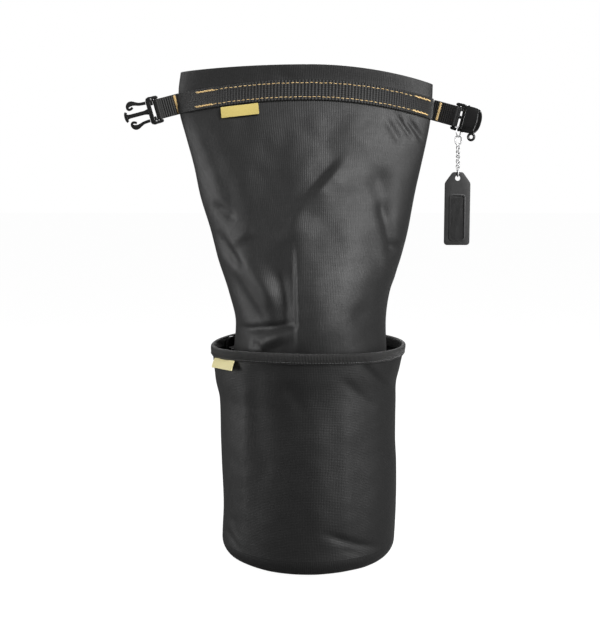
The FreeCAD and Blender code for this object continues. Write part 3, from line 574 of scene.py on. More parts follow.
def ledge(x, z, start, end, depth, width, reach):
    """A sharp edge on one side that fades out on the other, as where stiff cloth buckles."""
    share, side = along_segment(x, z, start, end)
    rise = smooth_step(-width, width, side)
    fade = 1 - smooth_step(width, reach, side)
    return depth * taper(share, 0.35) * rise * fade


def eased(stations, height):
    """The stations' values at a height, along a smooth curve through them."""
    count = len(stations)
    i = 0
    while i < count - 2 and height > stations[i + 1][0]:
        i += 1
    before, low, high, after = (stations[min(count - 1, max(0, i + k))] for k in (-1, 0, 1, 2))
    span = high[0] - low[0]
    share = min(1.0, max(0.0, (height - low[0]) / span))
    values = []
    for k in range(1, len(low)):
        start = (high[k] - before[k]) / max(1e-9, high[0] - before[0]) * span
        end = (after[k] - low[k]) / max(1e-9, after[0] - low[0]) * span
        square, cube = share**2, share**3
        value = low[k] * (2 * cube - 3 * square + 1) + start * (cube - 2 * square + share)
        values.append(value + high[k] * (3 * square - 2 * cube) + end * (cube - square))
    return values


def crumple(place, pitch, depth):
    """Small irregular unevenness."""
    return noise.noise(Vector(place) / pitch) * depth


# ---------------------------------------------------------------- tube of cloth

TUBE_GIRTH = 0.652
TUBE_BOTTOM = 0.0082
TUBE_TOP = 0.623
CLOTH_THICK = 0.0012
HEM_DEPTH = 0.03
HEM_THICK = 0.001
SIDE_TAPE_WIDTH = 0.012
SIDE_TAPE_BOTTOM = 0.03
SIDE_TAPE_TOP = TUBE_TOP - 0.031
LEFT_CORNER_DROP = 0.007
LEFT_CORNER_REACH = 0.155
RIGHT_CORNER_DROP = 0.022
RIGHT_CORNER_REACH = 0.154
DENSE_FROM = 0.235  # the tube's rows of points are dense above this height
SPARSE_SHARE = 0.15  # share of the rows below it
# height, reach to the left, reach to the right
TUBE_OUTLINE = [
    (0.0, 0.1037, 0.1037),
    (0.2, 0.1037, 0.1037),
    (0.3, 0.0925, 0.0985),
    (0.341, 0.101, 0.103),
    (0.382, 0.114, 0.116),
    (0.402, 0.119, 0.1215),
    (0.422, 0.124, 0.126),
    (0.462, 0.136, 0.133),
    (0.502, 0.144, 0.141),
    (0.542, 0.154, 0.148),
    (0.572, 0.161, 0.152),
    (0.601, 0.162, 0.154),
    (0.623, 0.159, 0.1545),
]
# start, end, depth, width: soft valleys (ridges where the depth is negative), in millimetres
FRONT_CREASES = [
    ((84, 492), (96, 440), 6.0, 13),
    ((92, 450), (104, 397), 8.0, 8),
    ((98, 402), (124, 396), 6.0, 6),
    ((86, 392), (112, 352), -3.0, 8),
    ((108, 570), (128, 542), 5.0, 3.6),
    ((124, 566), (145, 538), 6.0, 4.0),
    ((96, 562), (112, 534), 3.0, 5),
    ((118, 560), (134, 538), -2.5, 3.6),
    ((-112, 414), (-86, 378), 7.0, 7),
    ((-98, 404), (-70, 424), -4.0, 8),
    ((-94, 436), (-116, 452), 4.0, 6),
    ((-100, 372), (-62, 308), 6.0, 9),
    ((-78, 392), (-44, 336), -5.0, 11),
    ((-84, 300), (-22, 311), 6.0, 5),
    ((-72, 278), (-24, 305), -6.0, 8),
    ((-70, 284), (-57, 284), 4.0, 5),
    ((-40, 372), (-30, 306), 6.0, 11),
    ((60, 330), (84, 290), 3.0, 12),
    ((40, 440), (44, 320), -5.0, 44),
    ((-44, 530), (-60, 420), 4.0, 30),
    ((-132, 530), (-92, 440), 3.0, 12),
    ((-140, 545), (-104, 455), -3.0, 9),
    ((40, 545), (74, 520), -2.5, 16),
    ((-16, 600), (-40, 616), 2.5, 9),
    ((-90, 604), (-60, 612), -2.0, 10),
]
# start, end, depth, width, reach: a step that rises on the left of the line and fades out
FRONT_LEDGES = [
    ((-16, 300), (-17, 392), -6.0, 4, 70),
    ((34, 502), (0, 464), 9.0, 6, 50),
    ((-4, 470), (-30, 420), 4.0, 8, 40),
]
BACK_CREASES = [
    ((-90, 500), (-60, 410), 5.0, 9),
    ((70, 440), (30, 360), 4.0, 10),
    ((-30, 380), (20, 310), 3.5, 9),
    ((110, 560), (90, 530), 2.5, 5),
    ((-120, 560), (-100, 535), 2.5, 4),
    ((0, 520), (10, 430), -3.0, 20),
    ((80, 350), (60, 290), 4.0, 9),
]
BACK_LEDGES = [
    ((20, 470), (-16, 430), 5.0, 5, 44),
    ((-52, 350), (-48, 290), -4.5, 5, 50),
]


@functools.lru_cache(maxsize=4000)
def half_depth(half_width):
    """The half depth of an oval whose girth is the cloth's."""
    low, high = 0.0, TUBE_GIRTH / 2
    for _ in range(40):
        middle = (low + high) / 2
        a, b = half_width, middle
        girth = math.pi * (3 * (a + b) - math.sqrt((3 * a + b) * (a + 3 * b)))
        if girth < TUBE_GIRTH:
            low = middle
        else:
            high = middle
    return low


def tube_folds(x, z, facing):
    """How far the cloth stands out at a place (in millimetres) on its front or back."""
    creases, ledges = (FRONT_CREASES, FRONT_LEDGES) if facing < 0 else (BACK_CREASES, BACK_LEDGES)
    depth = 0.0
    for start, end, deep, width in creases:
        depth -= crease(x, z, start, end, deep, width)
    for start, end, deep, width, reach in ledges:
        depth += ledge(x, z, start, end, deep, width, reach)
    side = 1 if facing < 0 else -1
    depth += crumple((x, z, 40 * side), 46, 2.2) + crumple((x, z, 90 * side), 19, 0.8)
    return depth


def mouth_drop(x):
    """How far the mouth's edge lies below its middle."""
    if x < 0:
        return LEFT_CORNER_DROP * (x / LEFT_CORNER_REACH) ** 2
    return RIGHT_CORNER_DROP * (x / RIGHT_CORNER_REACH) ** 2


def tube_point(turn, height, out=0.0):
    """A place on the tube: turn 0 is right, a quarter turn is back, a half turn is left."""
    left, right = eased(TUBE_OUTLINE, height)
    a = (left + right) / 2
    b = half_depth(round(a, 5))
    c, s = math.cos(turn), math.sin(turn)
    x = (right - left) / 2 + a * c
    normal = Vector((c / a, s / b, 0)).normalized()
    hold = abs(s) ** 0.8 * (1 - 0.75 * smooth_step(0.55, 0.585, height))
    hold *= smooth_step(0.21, 0.27, height)
    fold = tube_folds(x * 1000, height * 1000, s) * 0.001 * hold
    drop = mouth_drop(x) * smooth_step(0.47, TUBE_TOP, height)
    seam = 0.0005 * bell(abs(s) * a, 0.004)
    return Vector((x, b * s, height - drop)) + normal * (fold + seam + out)


def blend_over_fold(piece):
    """Bakes the piece's place into its mesh."""
    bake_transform(piece)


def tube_height(share):
    """Rows are sparse inside the bucket and dense above it."""
    if share < SPARSE_SHARE:
        return TUBE_BOTTOM + (DENSE_FROM - TUBE_BOTTOM) * share / SPARSE_SHARE
    return DENSE_FROM + (TUBE_TOP - DENSE_FROM) * (share - SPARSE_SHARE) / (1 - SPARSE_SHARE)


def make_panel(name, start, nodes):
    """One half of the tube, from the base to the mouth."""

    def place(s, t):
        return tube_point(start + math.pi * (0.0015 + 0.997 * s), tube_height(t))

    piece = sheet_mesh(190, 190, place, (TUBE_GIRTH / 2, TUBE_TOP - TUBE_BOTTOM))
    add_modifier(piece, "SOLIDIFY", thickness=CLOTH_THICK, offset=-1)
    apply_all(piece)
    face_outwards(piece)
    dress(piece, name, "tube_cloth", None, 60)
    blend_over_fold(piece)
    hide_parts(*nodes)
    return piece


def make_tube():
    make_panel("tube_front_cloth", math.pi, ("tube_front_panel", "mouth_front_panel"))
    make_panel("tube_back_cloth", 0.0, ("tube_back_panel", "mouth_back_panel"))
    make_hem("hem_front", math.pi, "mouth_hem_front")
    make_hem("hem_back", 0.0, "mouth_hem_back")
    make_side_tape("seam_tape_left", math.pi, "tube_seam_tape_left")
    make_side_tape("seam_tape_right", TAU, "tube_seam_tape_right")


def make_hem(name, start, node):
    """The turned-in edge of the mouth, on the inside."""

    def place(s, t):
        return tube_point(start + math.pi * (0.004 + 0.992 * s), TUBE_TOP - HEM_DEPTH * (1 - t), -0.0017)

    piece = sheet_mesh(120, 10, place, (TUBE_GIRTH / 2, HEM_DEPTH))
    add_modifier(piece, "SOLIDIFY", thickness=HEM_THICK, offset=-1)
    apply_all(piece)
    face_outwards(piece)
    dress(piece, name, "tube_cloth", "mouth", 60)
    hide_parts(node)


def make_side_tape(name, middle, node):
    """Binding tape inside a side seam of the tube."""
    length = SIDE_TAPE_TOP - SIDE_TAPE_BOTTOM

    def place(s, t):
        height = SIDE_TAPE_BOTTOM + length * t
        left, right = eased(TUBE_OUTLINE, height)
        depth = half_depth(round((left + right) / 2, 5))
        reach = min(1.2, SIDE_TAPE_WIDTH / 2 / depth)
        return tube_point(middle + reach * (2 * s - 1), height, -0.0018)

    piece = sheet_mesh(10, 150, place, (SIDE_TAPE_WIDTH, length))
    add_modifier(piece, "SOLIDIFY", thickness=0.0006, offset=-1)
    apply_all(piece)
    face_outwards(piece)
    dress(piece, name, "tape", None, 60)
    blend_over_fold(piece)
    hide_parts(node, "mouth_seam_tapes")


# ---------------------------------------------------------------- bucket

BUCKET_RADIUS = 0.1125
BUCKET_THICK = 0.0024
RIM_HEIGHT = 0.272
BASE_RADIUS = 0.1122
BASE_ROUND = 0.022
BINDING_WIDTH = 0.011
SEAM_TAPE_WIDTH = 0.025
# height, reach to the left, reach to the right
BUCKET_OUTLINE = [
    (0.0, 0.112, 0.112),
    (0.022, 0.1122, 0.1122),
    (0.068, 0.1105, 0.1138),
    (0.121, 0.1122, 0.1138),
    (0.153, 0.113, 0.1122),
    (0.206, 0.1142, 0.1122),
    (0.227, 0.1185, 0.1128),
    (0.245, 0.1205, 0.1172),
    (0.272, 0.1232, 0.1228),
]
# start, end, depth, width: soft valleys, in millimetres
BUCKET_CREASES = [
    ((61, 264), (104, 219), 3.5, 5),
    ((44, 240), (78, 208), 2.0, 6),
    ((92, 150), (106, 124), 3.0, 4),
    ((26, 54), (101, 20), 2.6, 5),
    ((44, 34), (92, 12), 1.6, 4),
    ((-66, 250), (-52, 120), 2.0, 14),
    ((-104, 40), (-84, 22), 2.6, 5),
    ((-96, 62), (-90, 40), 1.5, 5),
    ((-30, 236), (-8, 214), 1.6, 9),
    ((10, 200), (16, 60), -1.4, 20),
    ((44, 210), (46, 60), -2.0, 12),
    ((-78, 230), (-78, 40), -1.8, 9),
]
BACK_BUCKET_CREASES = [
    ((-70, 250), (-96, 214), 3.0, 5),
    ((-30, 160), (-60, 110), 2.0, 8),
    ((70, 230), (84, 190), 2.6, 6),
    ((60, 50), (96, 22), 2.4, 5),
    ((30, 210), (34, 70), -1.8, 14),
]


def rim_lift(turn):
    """The rim isn't level: it rises at the front and the back."""
    return 0.0018 + 0.0034 * math.sin(turn) ** 2 + 0.0008 * math.sin(3 * turn + 1.2)


def bucket_folds(x, z, facing):
    depth = 0.0
    for start, end, deep, width in BUCKET_CREASES if facing < 0 else BACK_BUCKET_CREASES:
        depth -= crease(x, z, start, end, deep, width)
    side = 30 if facing < 0 else -55
    return depth + crumple((x, z, side), 60, 1.8) + crumple((x, z, 2 * side), 17, 0.5)


def bucket_point(turn, height, out=0.0):
    """A place on the bucket's wall: turn 0 is right, a quarter turn is back."""
    left, right = eased(BUCKET_OUTLINE, height)
    a = (left + right) / 2
    c, s = math.cos(turn), math.sin(turn)
    hold = abs(s) ** 0.6 * smooth_step(0.018, 0.04, height)
    hold *= 1 - 0.6 * smooth_step(0.25, RIM_HEIGHT, height)
    x = (right - left) / 2 + a * c
    fold = bucket_folds(x * 1000, height * 1000, s) * 0.001 * hold
    radius = a + fold + out
    lift = rim_lift(turn) * smooth_step(0.2, RIM_HEIGHT, height)
    return Vector(((right - left) / 2 + radius * c, radius * s, height + lift))


def make_bucket_wall():
    """The side panel, from the rounded edge of the base to the rim."""
    girth = TAU * BUCKET_RADIUS

    def place(s, t):
        return bucket_point(TAU * s - math.pi, BASE_ROUND + (RIM_HEIGHT - BASE_ROUND) * t)

    piece = sheet_mesh(300, 110, place, (girth, RIM_HEIGHT - BASE_ROUND), closed=True)
    add_modifier(piece, "SOLIDIFY", thickness=BUCKET_THICK, offset=-1)
    apply_all(piece)
    face_outwards(piece)
    dress(piece, "bucket_cloth", "bucket_cloth", "bag", 60)
    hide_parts("bucket_wall")


def base_profile(share):
    """Radius and height along the base, from its middle to its upturned edge."""
    flat = BASE_RADIUS - BASE_ROUND
    bend = BASE_ROUND * math.pi / 2
    distance = share * (flat + bend)
    if distance < flat:
        return distance, 0.0
    turn = (distance - flat) / BASE_ROUND
    return flat + BASE_ROUND * math.sin(turn), BASE_ROUND * (1 - math.cos(turn))


def make_base():
    """The round base panel with its upturned edge."""
    reach = BASE_RADIUS - BASE_ROUND + BASE_ROUND * math.pi / 2

    def place(s, t):
        radius, height = base_profile(0.02 + 0.98 * t)
        turn = TAU * s - math.pi
        wave = 0.0006 * math.sin(5 * turn + 1) * smooth_step(0.06, 0.1, radius)
        rise = max(0.0, wave) * (height > 0.001)
        return Vector((radius * math.cos(turn), radius * math.sin(turn), height + rise))

    piece = sheet_mesh(160, 40, place, (TAU * 0.09, reach), closed=True)
    close_middle(piece)
    add_modifier(piece, "SOLIDIFY", thickness=BUCKET_THICK, offset=-1)
    apply_all(piece)
    face_outwards(piece)
    dress(piece, "base_cloth", "bucket_cloth", "bag", 60)
    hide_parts("base_outer_panel")


def close_middle(piece):
    """Fills the small hole in the middle of a round sheet."""
    work = bmesh.new()
    work.from_mesh(piece.data)
    rim = [e for e in work.edges if e.is_boundary and e.verts[0].co.xy.length < 0.02]
    bmesh.ops.contextual_create(work, geom=rim)
    work.to_mesh(piece.data)
    work.free()


def band_round_bucket(name, finish, profile, node, start=0.0, spread=TAU, columns=260):
    """A tape round the bucket: profile points are (height, distance out), a closed loop."""
    closed = spread >= TAU
    count = len(profile)
    lengths = [0.0]
    for (h0, d0), (h1, d1) in zip(profile, profile[1:] + profile[:1]):
        lengths.append(lengths[-1] + math.hypot(h1 - h0, d1 - d0))

    def place(s, t):
        index = min(count, int(round(t * count)))
        height, out = profile[index % count]
        return bucket_point(start + spread * s, height, out)

    piece = sheet_mesh(columns, count, place, (BUCKET_RADIUS * spread, lengths[-1]), closed=True)
    if not closed:
        cap_ends(piece)
    apply_all(piece)
    face_outwards(piece)
    dress(piece, name, finish, "bag", 45)
    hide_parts(node)
    return piece


def cap_ends(piece):
    """Fills the open ends of a band."""
    work = bmesh.new()
    work.from_mesh(piece.data)
    bmesh.ops.holes_fill(work, edges=[e for e in work.edges if e.is_boundary], sides=0)
    work.to_mesh(piece.data)
    work.free()


def make_rim_binding():
    """Tape folded over the rim, wider than the wall is thick."""
    grip = 0.0016
    outer = grip
    inner = -BUCKET_THICK - grip
    low = RIM_HEIGHT - BINDING_WIDTH
    top = RIM_HEIGHT + 0.0004
    middle = (outer + inner) / 2
    half = (outer - inner) / 2
    points = [(low + 0.0006, outer), (low + 0.002, outer + 0.0004), (low + 0.0055, outer + 0.0005)]
    points += [(low + 0.0085, outer + 0.0003)]
    for step in range(0, 181, 20):
        angle = math.radians(step)
        points.append((top - 0.0012 + half * math.sin(angle), middle + half * math.cos(angle)))
    points += [(low + 0.006, inner - 0.0004), (low + 0.0006, inner), (low, inner + 0.0008)]
    points += [(low, inner + 0.0013), (top - 0.003, -BUCKET_THICK - 0.0002), (top - 0.0022, middle)]
    points += [(top - 0.003, 0.0002), (low, 0.0003), (low, outer - 0.0006)]
    piece = band_round_bucket("rim_binding_tape", "tape", points, "rim_binding")


def make_bucket_tapes():
    """Tape over the side panel's upright seam, at the back."""
    low, high = BASE_ROUND + 0.002, RIM_HEIGHT - BINDING_WIDTH - 0.0008
    spread = SEAM_TAPE_WIDTH / BUCKET_RADIUS
    profile = [(low + (high - low) * k / 40, 0.0015) for k in range(41)]
    profile += [(low + (high - low) * k / 40, 0.0003) for k in range(40, -1, -1)]
    start = math.pi / 2 - spread / 2
    piece = band_round_bucket(
        "back_seam_tape", "tape", profile, "bucket_seam_tape", start=start, spread=spread, columns=14
    )


def make_rim_stitches():
    """A dark row that holds the binding, just above its lower edge."""
    places = []
    count = 230
    for i in range(count):
        turn = TAU * i / count
        point = bucket_point(turn, RIM_HEIGHT - BINDING_WIDTH + 0.0024, 0.0021)
        along = Vector((-math.sin(turn), math.cos(turn), 0))
        places.append(place_on(point, along, Vector((math.cos(turn), math.sin(turn), 0))))
    scatter("rim_stitches", "dark_thread", "bag", stitch_seed(0.0026, 0.0008, 0.0008), places)


def make_bucket():
    make_bucket_wall()
    make_base()
    make_rim_binding()
    make_rim_stitches()
    make_bucket_tapes()


# ---------------------------------------------------------------- stitches


def scatter(name, finish, body, seed, places):
    """Copies of one small piece at many places, joined into one mesh of its own."""
    source = bmesh.new()
    source.from_mesh(seed.data)
    verts = [v.co.copy() for v in source.verts]
    faces = [[v.index for v in f.verts] for f in source.faces]
    source.free()
    all_verts, all_faces = [], []
    for matrix in places:
        base = len(all_verts)
        all_verts += [matrix @ v for v in verts]
        all_faces += [[base + i for i in face] for face in faces]
    seed.data.clear_geometry()
    seed.data.from_pydata(all_verts, [], all_faces)
    seed.data.update()
    return dress(seed, name, finish, body, 60)


def stitch_seed(length, width, rise):
    """One stitch: a short thread that dips into the cloth at both ends."""
    deselect()
    bpy.ops.mesh.primitive_uv_sphere_add(segments=8, ring_count=5, radius=0.5)
    piece = bpy.context.object
    piece.rotation_euler = (0, math.pi / 2, 0)
    apply_all(piece)
    for vertex in piece.data.vertices:
        x, y, z = vertex.co
        vertex.co = (x * length, y * width, z * rise)
    return piece


def place_on(point, along, normal):
    """A frame with X along and Z out of the surface."""
    across = normal.cross(along).normalized()
    matrix = Matrix((along, across, normal)).transposed().to_4x4()
    matrix.translation = point
    return matrix


# ---------------------------------------------------------------- strap across the mouth

WEBBING_WIDTH = 0.025
WEBBING_THICK = 0.002
STRAP_LENGTH = 0.327
STRAP_HEIGHT = 0.5925  # of its middle, at the middle of the mouth
STRAP_REACH = 0.161
STRAP_SAG_LEFT = 0.0158
STRAP_SAG_RIGHT = 0.0245
STRAP_LEVEL = 0.58  # the tube's outline is read here to place what is on the strap
STITCH_START = -0.1385
STITCH_COUNT = 50


def strap_height(x):
    """The height of the middle of the strap."""
    sag = STRAP_SAG_LEFT if x < 0 else STRAP_SAG_RIGHT
    return STRAP_HEIGHT - sag * (x / STRAP_REACH) ** 2


def flat_tube_point(turn, z, out):
    """A place on the tube at a true height, with the mouth's droop taken into account."""
    height = z
    for _ in range(4):
        point = tube_point(turn, min(TUBE_TOP, height), out)
        height += z - point.z
    return point


def strap_point(s, offset, out):
    """A place on the strap: s from 0 at the left to 1 at the right, offset up from its middle."""
    turn = math.pi * (1 + s)
    x = tube_point(turn, STRAP_LEVEL, 0).x
    slope = (strap_height(x + 0.004) - strap_height(x - 0.004)) / 0.008
    rise = offset / math.hypot(1, slope)
    return flat_tube_point(turn, strap_height(x) + rise * (1 + slope**2), out)


def make_mouth_strap():
    """Webbing sewn along the front of the mouth."""

    def place(s, t):
        edge = abs(2 * t - 1)
        sink = -0.0004 * smooth_step(0.86, 1.0, edge)
        return strap_point(0.004 + 0.992 * s, (t - 0.5) * WEBBING_WIDTH, 0.0004 + WEBBING_THICK + sink)

    piece = sheet_mesh(260, 18, place, (STRAP_LENGTH, WEBBING_WIDTH))
    add_modifier(piece, "SOLIDIFY", thickness=WEBBING_THICK, offset=-1)
    add_modifier(piece, "BEVEL", width=0.0005, segments=2, limit_method="ANGLE")
    apply_all(piece)
    face_outwards(piece)
    dress(piece, "mouth_strap_webbing", "webbing", "mouth", 50)
    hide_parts("mouth_strap")


def strap_frame(x, offset, out):
    """The place and frame of a stitch on the strap, at a distance from its middle."""
    s = strap_share(x)
    point = strap_point(s, offset, out)
    ahead = strap_point(min(1.0, s + 0.004), offset, out) - strap_point(max(0.0, s - 0.004), offset, out)
    along = ahead.normalized()
    normal = along.cross(Vector((0, 0, 1))).normalized()
    return place_on(point, along, normal)


def strap_share(x):
    """How far along the strap a place lies."""
    left, right = eased(TUBE_OUTLINE, STRAP_LEVEL)
    cosine = (x - (right - left) / 2) / ((right + left) / 2)
    return math.acos(max(-1.0, min(1.0, -cosine))) / math.pi


STRAP_ROWS = [(-0.0085, 0.0), (0.0085, 0.002)]
STITCH_PITCH = 0.0058


def make_strap_stitches():
    """Two golden rows along the strap."""
    places = []
    for offset, shift in STRAP_ROWS:
        for i in range(STITCH_COUNT):
            x = STITCH_START + shift + STITCH_PITCH * i
            turn = Matrix.Rotation(0.05 * math.sin(i * 2.3 + offset * 900), 4, "Z")
            wander = 0.0002 * math.sin(i * 1.7 + offset * 500)
            places.append(strap_frame(x, offset + wander, 0.0024) @ turn)
    seed = stitch_seed(0.0044, 0.0009, 0.0011)
    scatter("strap_stitches", "thread", "mouth", seed, places)


def make_strap_end_tacks():
    """Each row is sewn back over itself at both ends."""
    places = []
    for offset, shift in STRAP_ROWS:
        for start, count in ((-0.139, 5), (0.130, 4)):
            for i in range(count * 2):
                x = start + shift + i * 0.0022
                side = 0.0005 * (-1) ** i
                turn = Matrix.Rotation(0.07 * math.sin(i * 1.9), 4, "Z")
                places.append(strap_frame(x, offset + side, 0.0027) @ turn)
    piece = scatter("strap_end_tack_threads", "thread", "mouth", stitch_seed(0.0046, 0.0012, 0.0013), places)
    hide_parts("strap_end_tacks")


# ---------------------------------------------------------------- strap ends


def path_at(points, share):
    """A place along a line of points, by length."""
    lengths = [(b - a).length for a, b in zip(points, points[1:])]
    distance = share * sum(lengths)
    for start, end, length in zip(points, points[1:], lengths):
        if distance <= length:
            return start.lerp(end, distance / length)
        distance -= length
    return points[-1].copy()


def path_length(points):
    return sum((b - a).length for a, b in zip(points, points[1:]))


def ribbon(points, matrix, columns):
    """Webbing bent along a line in local XZ, spread along local Y."""
    length = path_length(points)

    def place(s, t):
        middle = path_at(points, s)
        return matrix @ Vector((middle.x, (t - 0.5) * WEBBING_WIDTH, middle.z))

    piece = sheet_mesh(columns, 12, place, (length, WEBBING_WIDTH))
    add_modifier(piece, "SOLIDIFY", thickness=WEBBING_THICK, offset=0)
    add_modifier(piece, "BEVEL", width=0.0004, segments=2, limit_method="ANGLE")
    apply_all(piece)
    face_outwards(piece)
    return piece


def loop_path(start, reach, gap, radius, steps=14):
    """Out along one ply, round a bar and back along the other ply."""
    points = [Vector((start, 0, -gap)), Vector((reach - radius * 1.6, 0, -gap))]
    for i in range(steps + 1):
        angle = math.radians(-125 + 250 * i / steps)
        points.append(Vector((reach + radius * math.cos(angle), 0, radius * math.sin(angle))))
    points += [Vector((reach - radius * 1.6, 0, gap)), Vector((start, 0, gap))]
    return points


STUB_LENGTH = 0.028
LOOP_RADIUS = 0.0033


def end_frame(side):
    """Origin at the swing hinge, X out along the strap end, Y up its width."""
    root = joint_place(side + "_strap_swing")
    bar = joint_place(("male" if side == "left" else "female") + "_buckle_pivot")
    u = (bar - root).normalized()
    v = joint_axis(side + "_strap_swing")
    return frame_matrix(root, u, v)


def make_strap_end(side, start):
    """A loop of webbing round a buckle's bar, held by a bar tack on both faces."""
    matrix = end_frame(side)
    points = loop_path(start, STUB_LENGTH, 0.00115, LOOP_RADIUS)
    piece = ribbon(points, matrix, 90)
    dress(piece, side + "_strap_loop", "webbing", None, 50)
    u = matrix.to_3x3() @ Vector((1, 0, 0))
    root = matrix.translation
    near, far = root - u * 0.003, root + u * 0.015
    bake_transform(piece)
    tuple(near)
    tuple(far)
    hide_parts(side + "_strap_end")
    length = path_length(points)
    places = []
    for face in (-1, 1):
        for i in range(26):
            y = (i / 25 - 0.5) * 0.0215
            spin = Matrix.Rotation(0.16 * (-1) ** i, 4, "Z")
            spot = Matrix.Translation((0.0046, y, face * 0.0022))
            places.append(matrix @ spot @ spin)
    tack = scatter(side + "_bar_tack_threads", "thread", None, stitch_seed(0.0036, 0.0011, 0.0011), places)
    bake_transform(tack)
    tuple(near)
    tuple(far)
    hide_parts(side + "_bar_tack")


# ---------------------------------------------------------------- labels


LABEL_LENGTH = 0.047
LABEL_THICK = 0.0008
MOUTH_LABEL_DEPTH = 0.0132
MOUTH_LABEL_TILT = math.radians(6.0)
RIM_LABEL_DEPTH = 0.0125
RIM_LABEL_LEAN = math.radians(20)
RIM_LABEL_TURN = math.radians(8)  # further round to the front than its solid
RIM_LABEL_RISE = 0.004
RIM_LABEL_ROLL = math.radians(3)


def make_label(name, node, body, finish, matrix, depth, bow, flare):
    """A bare yellow label that hangs from its sewn edge along local -Y."""

    def place(s, t):
        x = (s - 0.5) * LABEL_LENGTH
        y = -depth * (1 - t)
        lift = bow * math.sin(math.pi * (1 - t)) + flare * (1 - t) + 0.0008 * (1 - t) * math.sin(5 * s)
        return matrix @ Vector((x, y, lift))

    piece = sheet_mesh(48, 20, place, (LABEL_LENGTH, depth))
    add_modifier(piece, "SOLIDIFY", thickness=LABEL_THICK, offset=0)
    apply_all(piece)
    face_outwards(piece)
    dress(piece, name, finish, body, 50)
    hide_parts(node)
    return piece


def label_frame(joint, up):
    """Local X along the sewn edge, local Y up, local Z out."""
    along = -joint_axis(joint)
    normal = along.cross(up).normalized()
    upward = normal.cross(along)
    matrix = Matrix((along, upward, normal)).transposed().to_4x4()
    matrix.translation = joint_place(joint)
    return matrix


def make_labels():
    """One label below the strap, and one at the rim in a paler copy of its cloth: painted light, for a label
    that faces away from the lamps.
    """
    tilt = Matrix.Translation((0.0, 0.0004, 0.0008)) @ Matrix.Rotation(MOUTH_LABEL_TILT, 4, "Z")
    mouth = label_frame("mouth_label_lift", Vector((0, 0, 1))) @ tilt
    make_label(
        "mouth_label_cloth", "mouth_label", "mouth_label", "label", mouth,
        MOUTH_LABEL_DEPTH, 0.0004, 0.0018,
    )
    place = joint_place("rim_label_lift")
    out = Vector((place.x, place.y, 0)).normalized()
    up = Vector((0, 0, math.cos(RIM_LABEL_LEAN))) - out * math.sin(RIM_LABEL_LEAN)
    along = Matrix.Rotation(RIM_LABEL_TURN, 4, "Z")
    roll = Matrix.Translation((0, RIM_LABEL_RISE, 0.0014)) @ Matrix.Rotation(RIM_LABEL_ROLL, 4, "Z")
    rim = along @ label_frame("rim_label_lift", up) @ roll
    # The rim label's paler cloth is painted light, not a paler dye.
    piece = make_label(
        "rim_label_cloth", "rim_label", None, "label_painted_lighter", rim,
        RIM_LABEL_DEPTH, 0.0006, 0.001,
    )
    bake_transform(piece)


# ---------------------------------------------------------------- hard parts

BAR_RADIUS = 0.002
BAR_LENGTH = 0.031


def mm(points):
    """Points in millimetres as points in metres."""
    return [(x * 0.001, y * 0.001) for x, y in points]


def strip_outline(points, widths):
    """The outline of a bar that follows a line and changes width on the way."""
    left, right = [], []
    for i, (x, y) in enumerate(points):
        before = points[max(0, i - 1)]
        after = points[min(len(points) - 1, i + 1)]
        dx, dy = after[0] - before[0], after[1] - before[1]
        length = math.hypot(dx, dy)
        half = widths[i] / 2
        left.append((x - dy / length * half, y + dx / length * half))
        right.append((x + dy / length * half, y - dx / length * half))
    return mm(left + right[::-1])


def between(before, start, end, after, t):
    """A value on the smooth curve from start to end, with t from 0 to 1."""
    square = 2 * before - 5 * start + 4 * end - after
    cube = 3 * start - before - 3 * end + after
    return 0.5 * (2 * start + (end - before) * t + square * t * t + cube * t**3)


def smooth_line(points, steps=5):
    """Points along a smooth curve through the given ones."""
    out = []
    count = len(points)
    for i in range(count - 1):
        a, b, c, d = (points[min(count - 1, max(0, i + k))] for k in (-1, 0, 1, 2))
        for step in range(steps):
            t = step / steps
            out.append(tuple(between(*values, t) for values in zip(a, b, c, d)))
    return out + [points[-1]]


def cut_with(piece, cutter):
    """Cuts one closed piece with another, which is then gone."""
    modifier = add_modifier(piece, "BOOLEAN", operation="DIFFERENCE", solver="EXACT")
    modifier.object = cutter
    apply_all(piece)
    bpy.data.objects.remove(cutter)


def join_with(piece, other):
    """Fuses another closed piece into this one."""
    modifier = add_modifier(piece, "BOOLEAN", operation="UNION", solver="EXACT")
    modifier.object = other
    apply_all(piece)
    bpy.data.objects.remove(other)


def round_bar(radius, length, matrix, sides=24):
    """A bar along local Y."""
    deselect()
    bpy.ops.mesh.primitive_cylinder_add(vertices=sides, radius=radius, depth=length)
    piece = bpy.context.object
    piece.matrix_world = matrix @ Matrix.Rotation(math.pi / 2, 4, "X")
    apply_all(piece)
    return piece


def slot_outline(end):
    """Two cheeks and a crossbar round the webbing's slot."""
    inner = 13.3
    return mm([
        (-3.2, inner), (-3.2, 15.6), (-2.0, 16.8), (2.0, 17.0), (end - 3.6, 17.0), (end - 1.0, 16.0),
        (end, 13.6), (end, -13.6), (end - 1.0, -16.0), (end - 3.6, -17.0), (2.0, -17.0), (-2.0, -16.8),
        (-3.2, -15.6), (-3.2, -inner), (7.6, -inner), (7.6, inner),
    ])


def buckle_frame(side):
    """Origin at the buckle's bar, X out along the buckle, Y up its width."""
    pivot = joint_place(("male" if side == "left" else "female") + "_buckle_pivot")
    along = (pivot - joint_place(side + "_strap_swing")).normalized()
    return frame_matrix(pivot, along, joint_axis(side + "_strap_swing"))


def bridge(low, high, matrix):
    """Closes part of the slot beyond the webbing's loop."""
    return plate(mm([(4.5, low), (8.4, low), (8.4, high), (4.5, high)]), -0.0021, 0.0021, matrix, 0.0006, 2)


def shoulder_lump(side, matrix):
    """A rounded swelling where a prong leaves the frame."""
    deselect()
    bpy.ops.mesh.primitive_uv_sphere_add(segments=40, ring_count=24, radius=1)
    piece = bpy.context.object
    spot = Matrix.Translation((0.0078, side * 0.0137, 0))
    piece.matrix_world = matrix @ spot @ Matrix.Diagonal((0.0049, 0.0037, 0.0037, 1))
    apply_all(piece)
    return piece


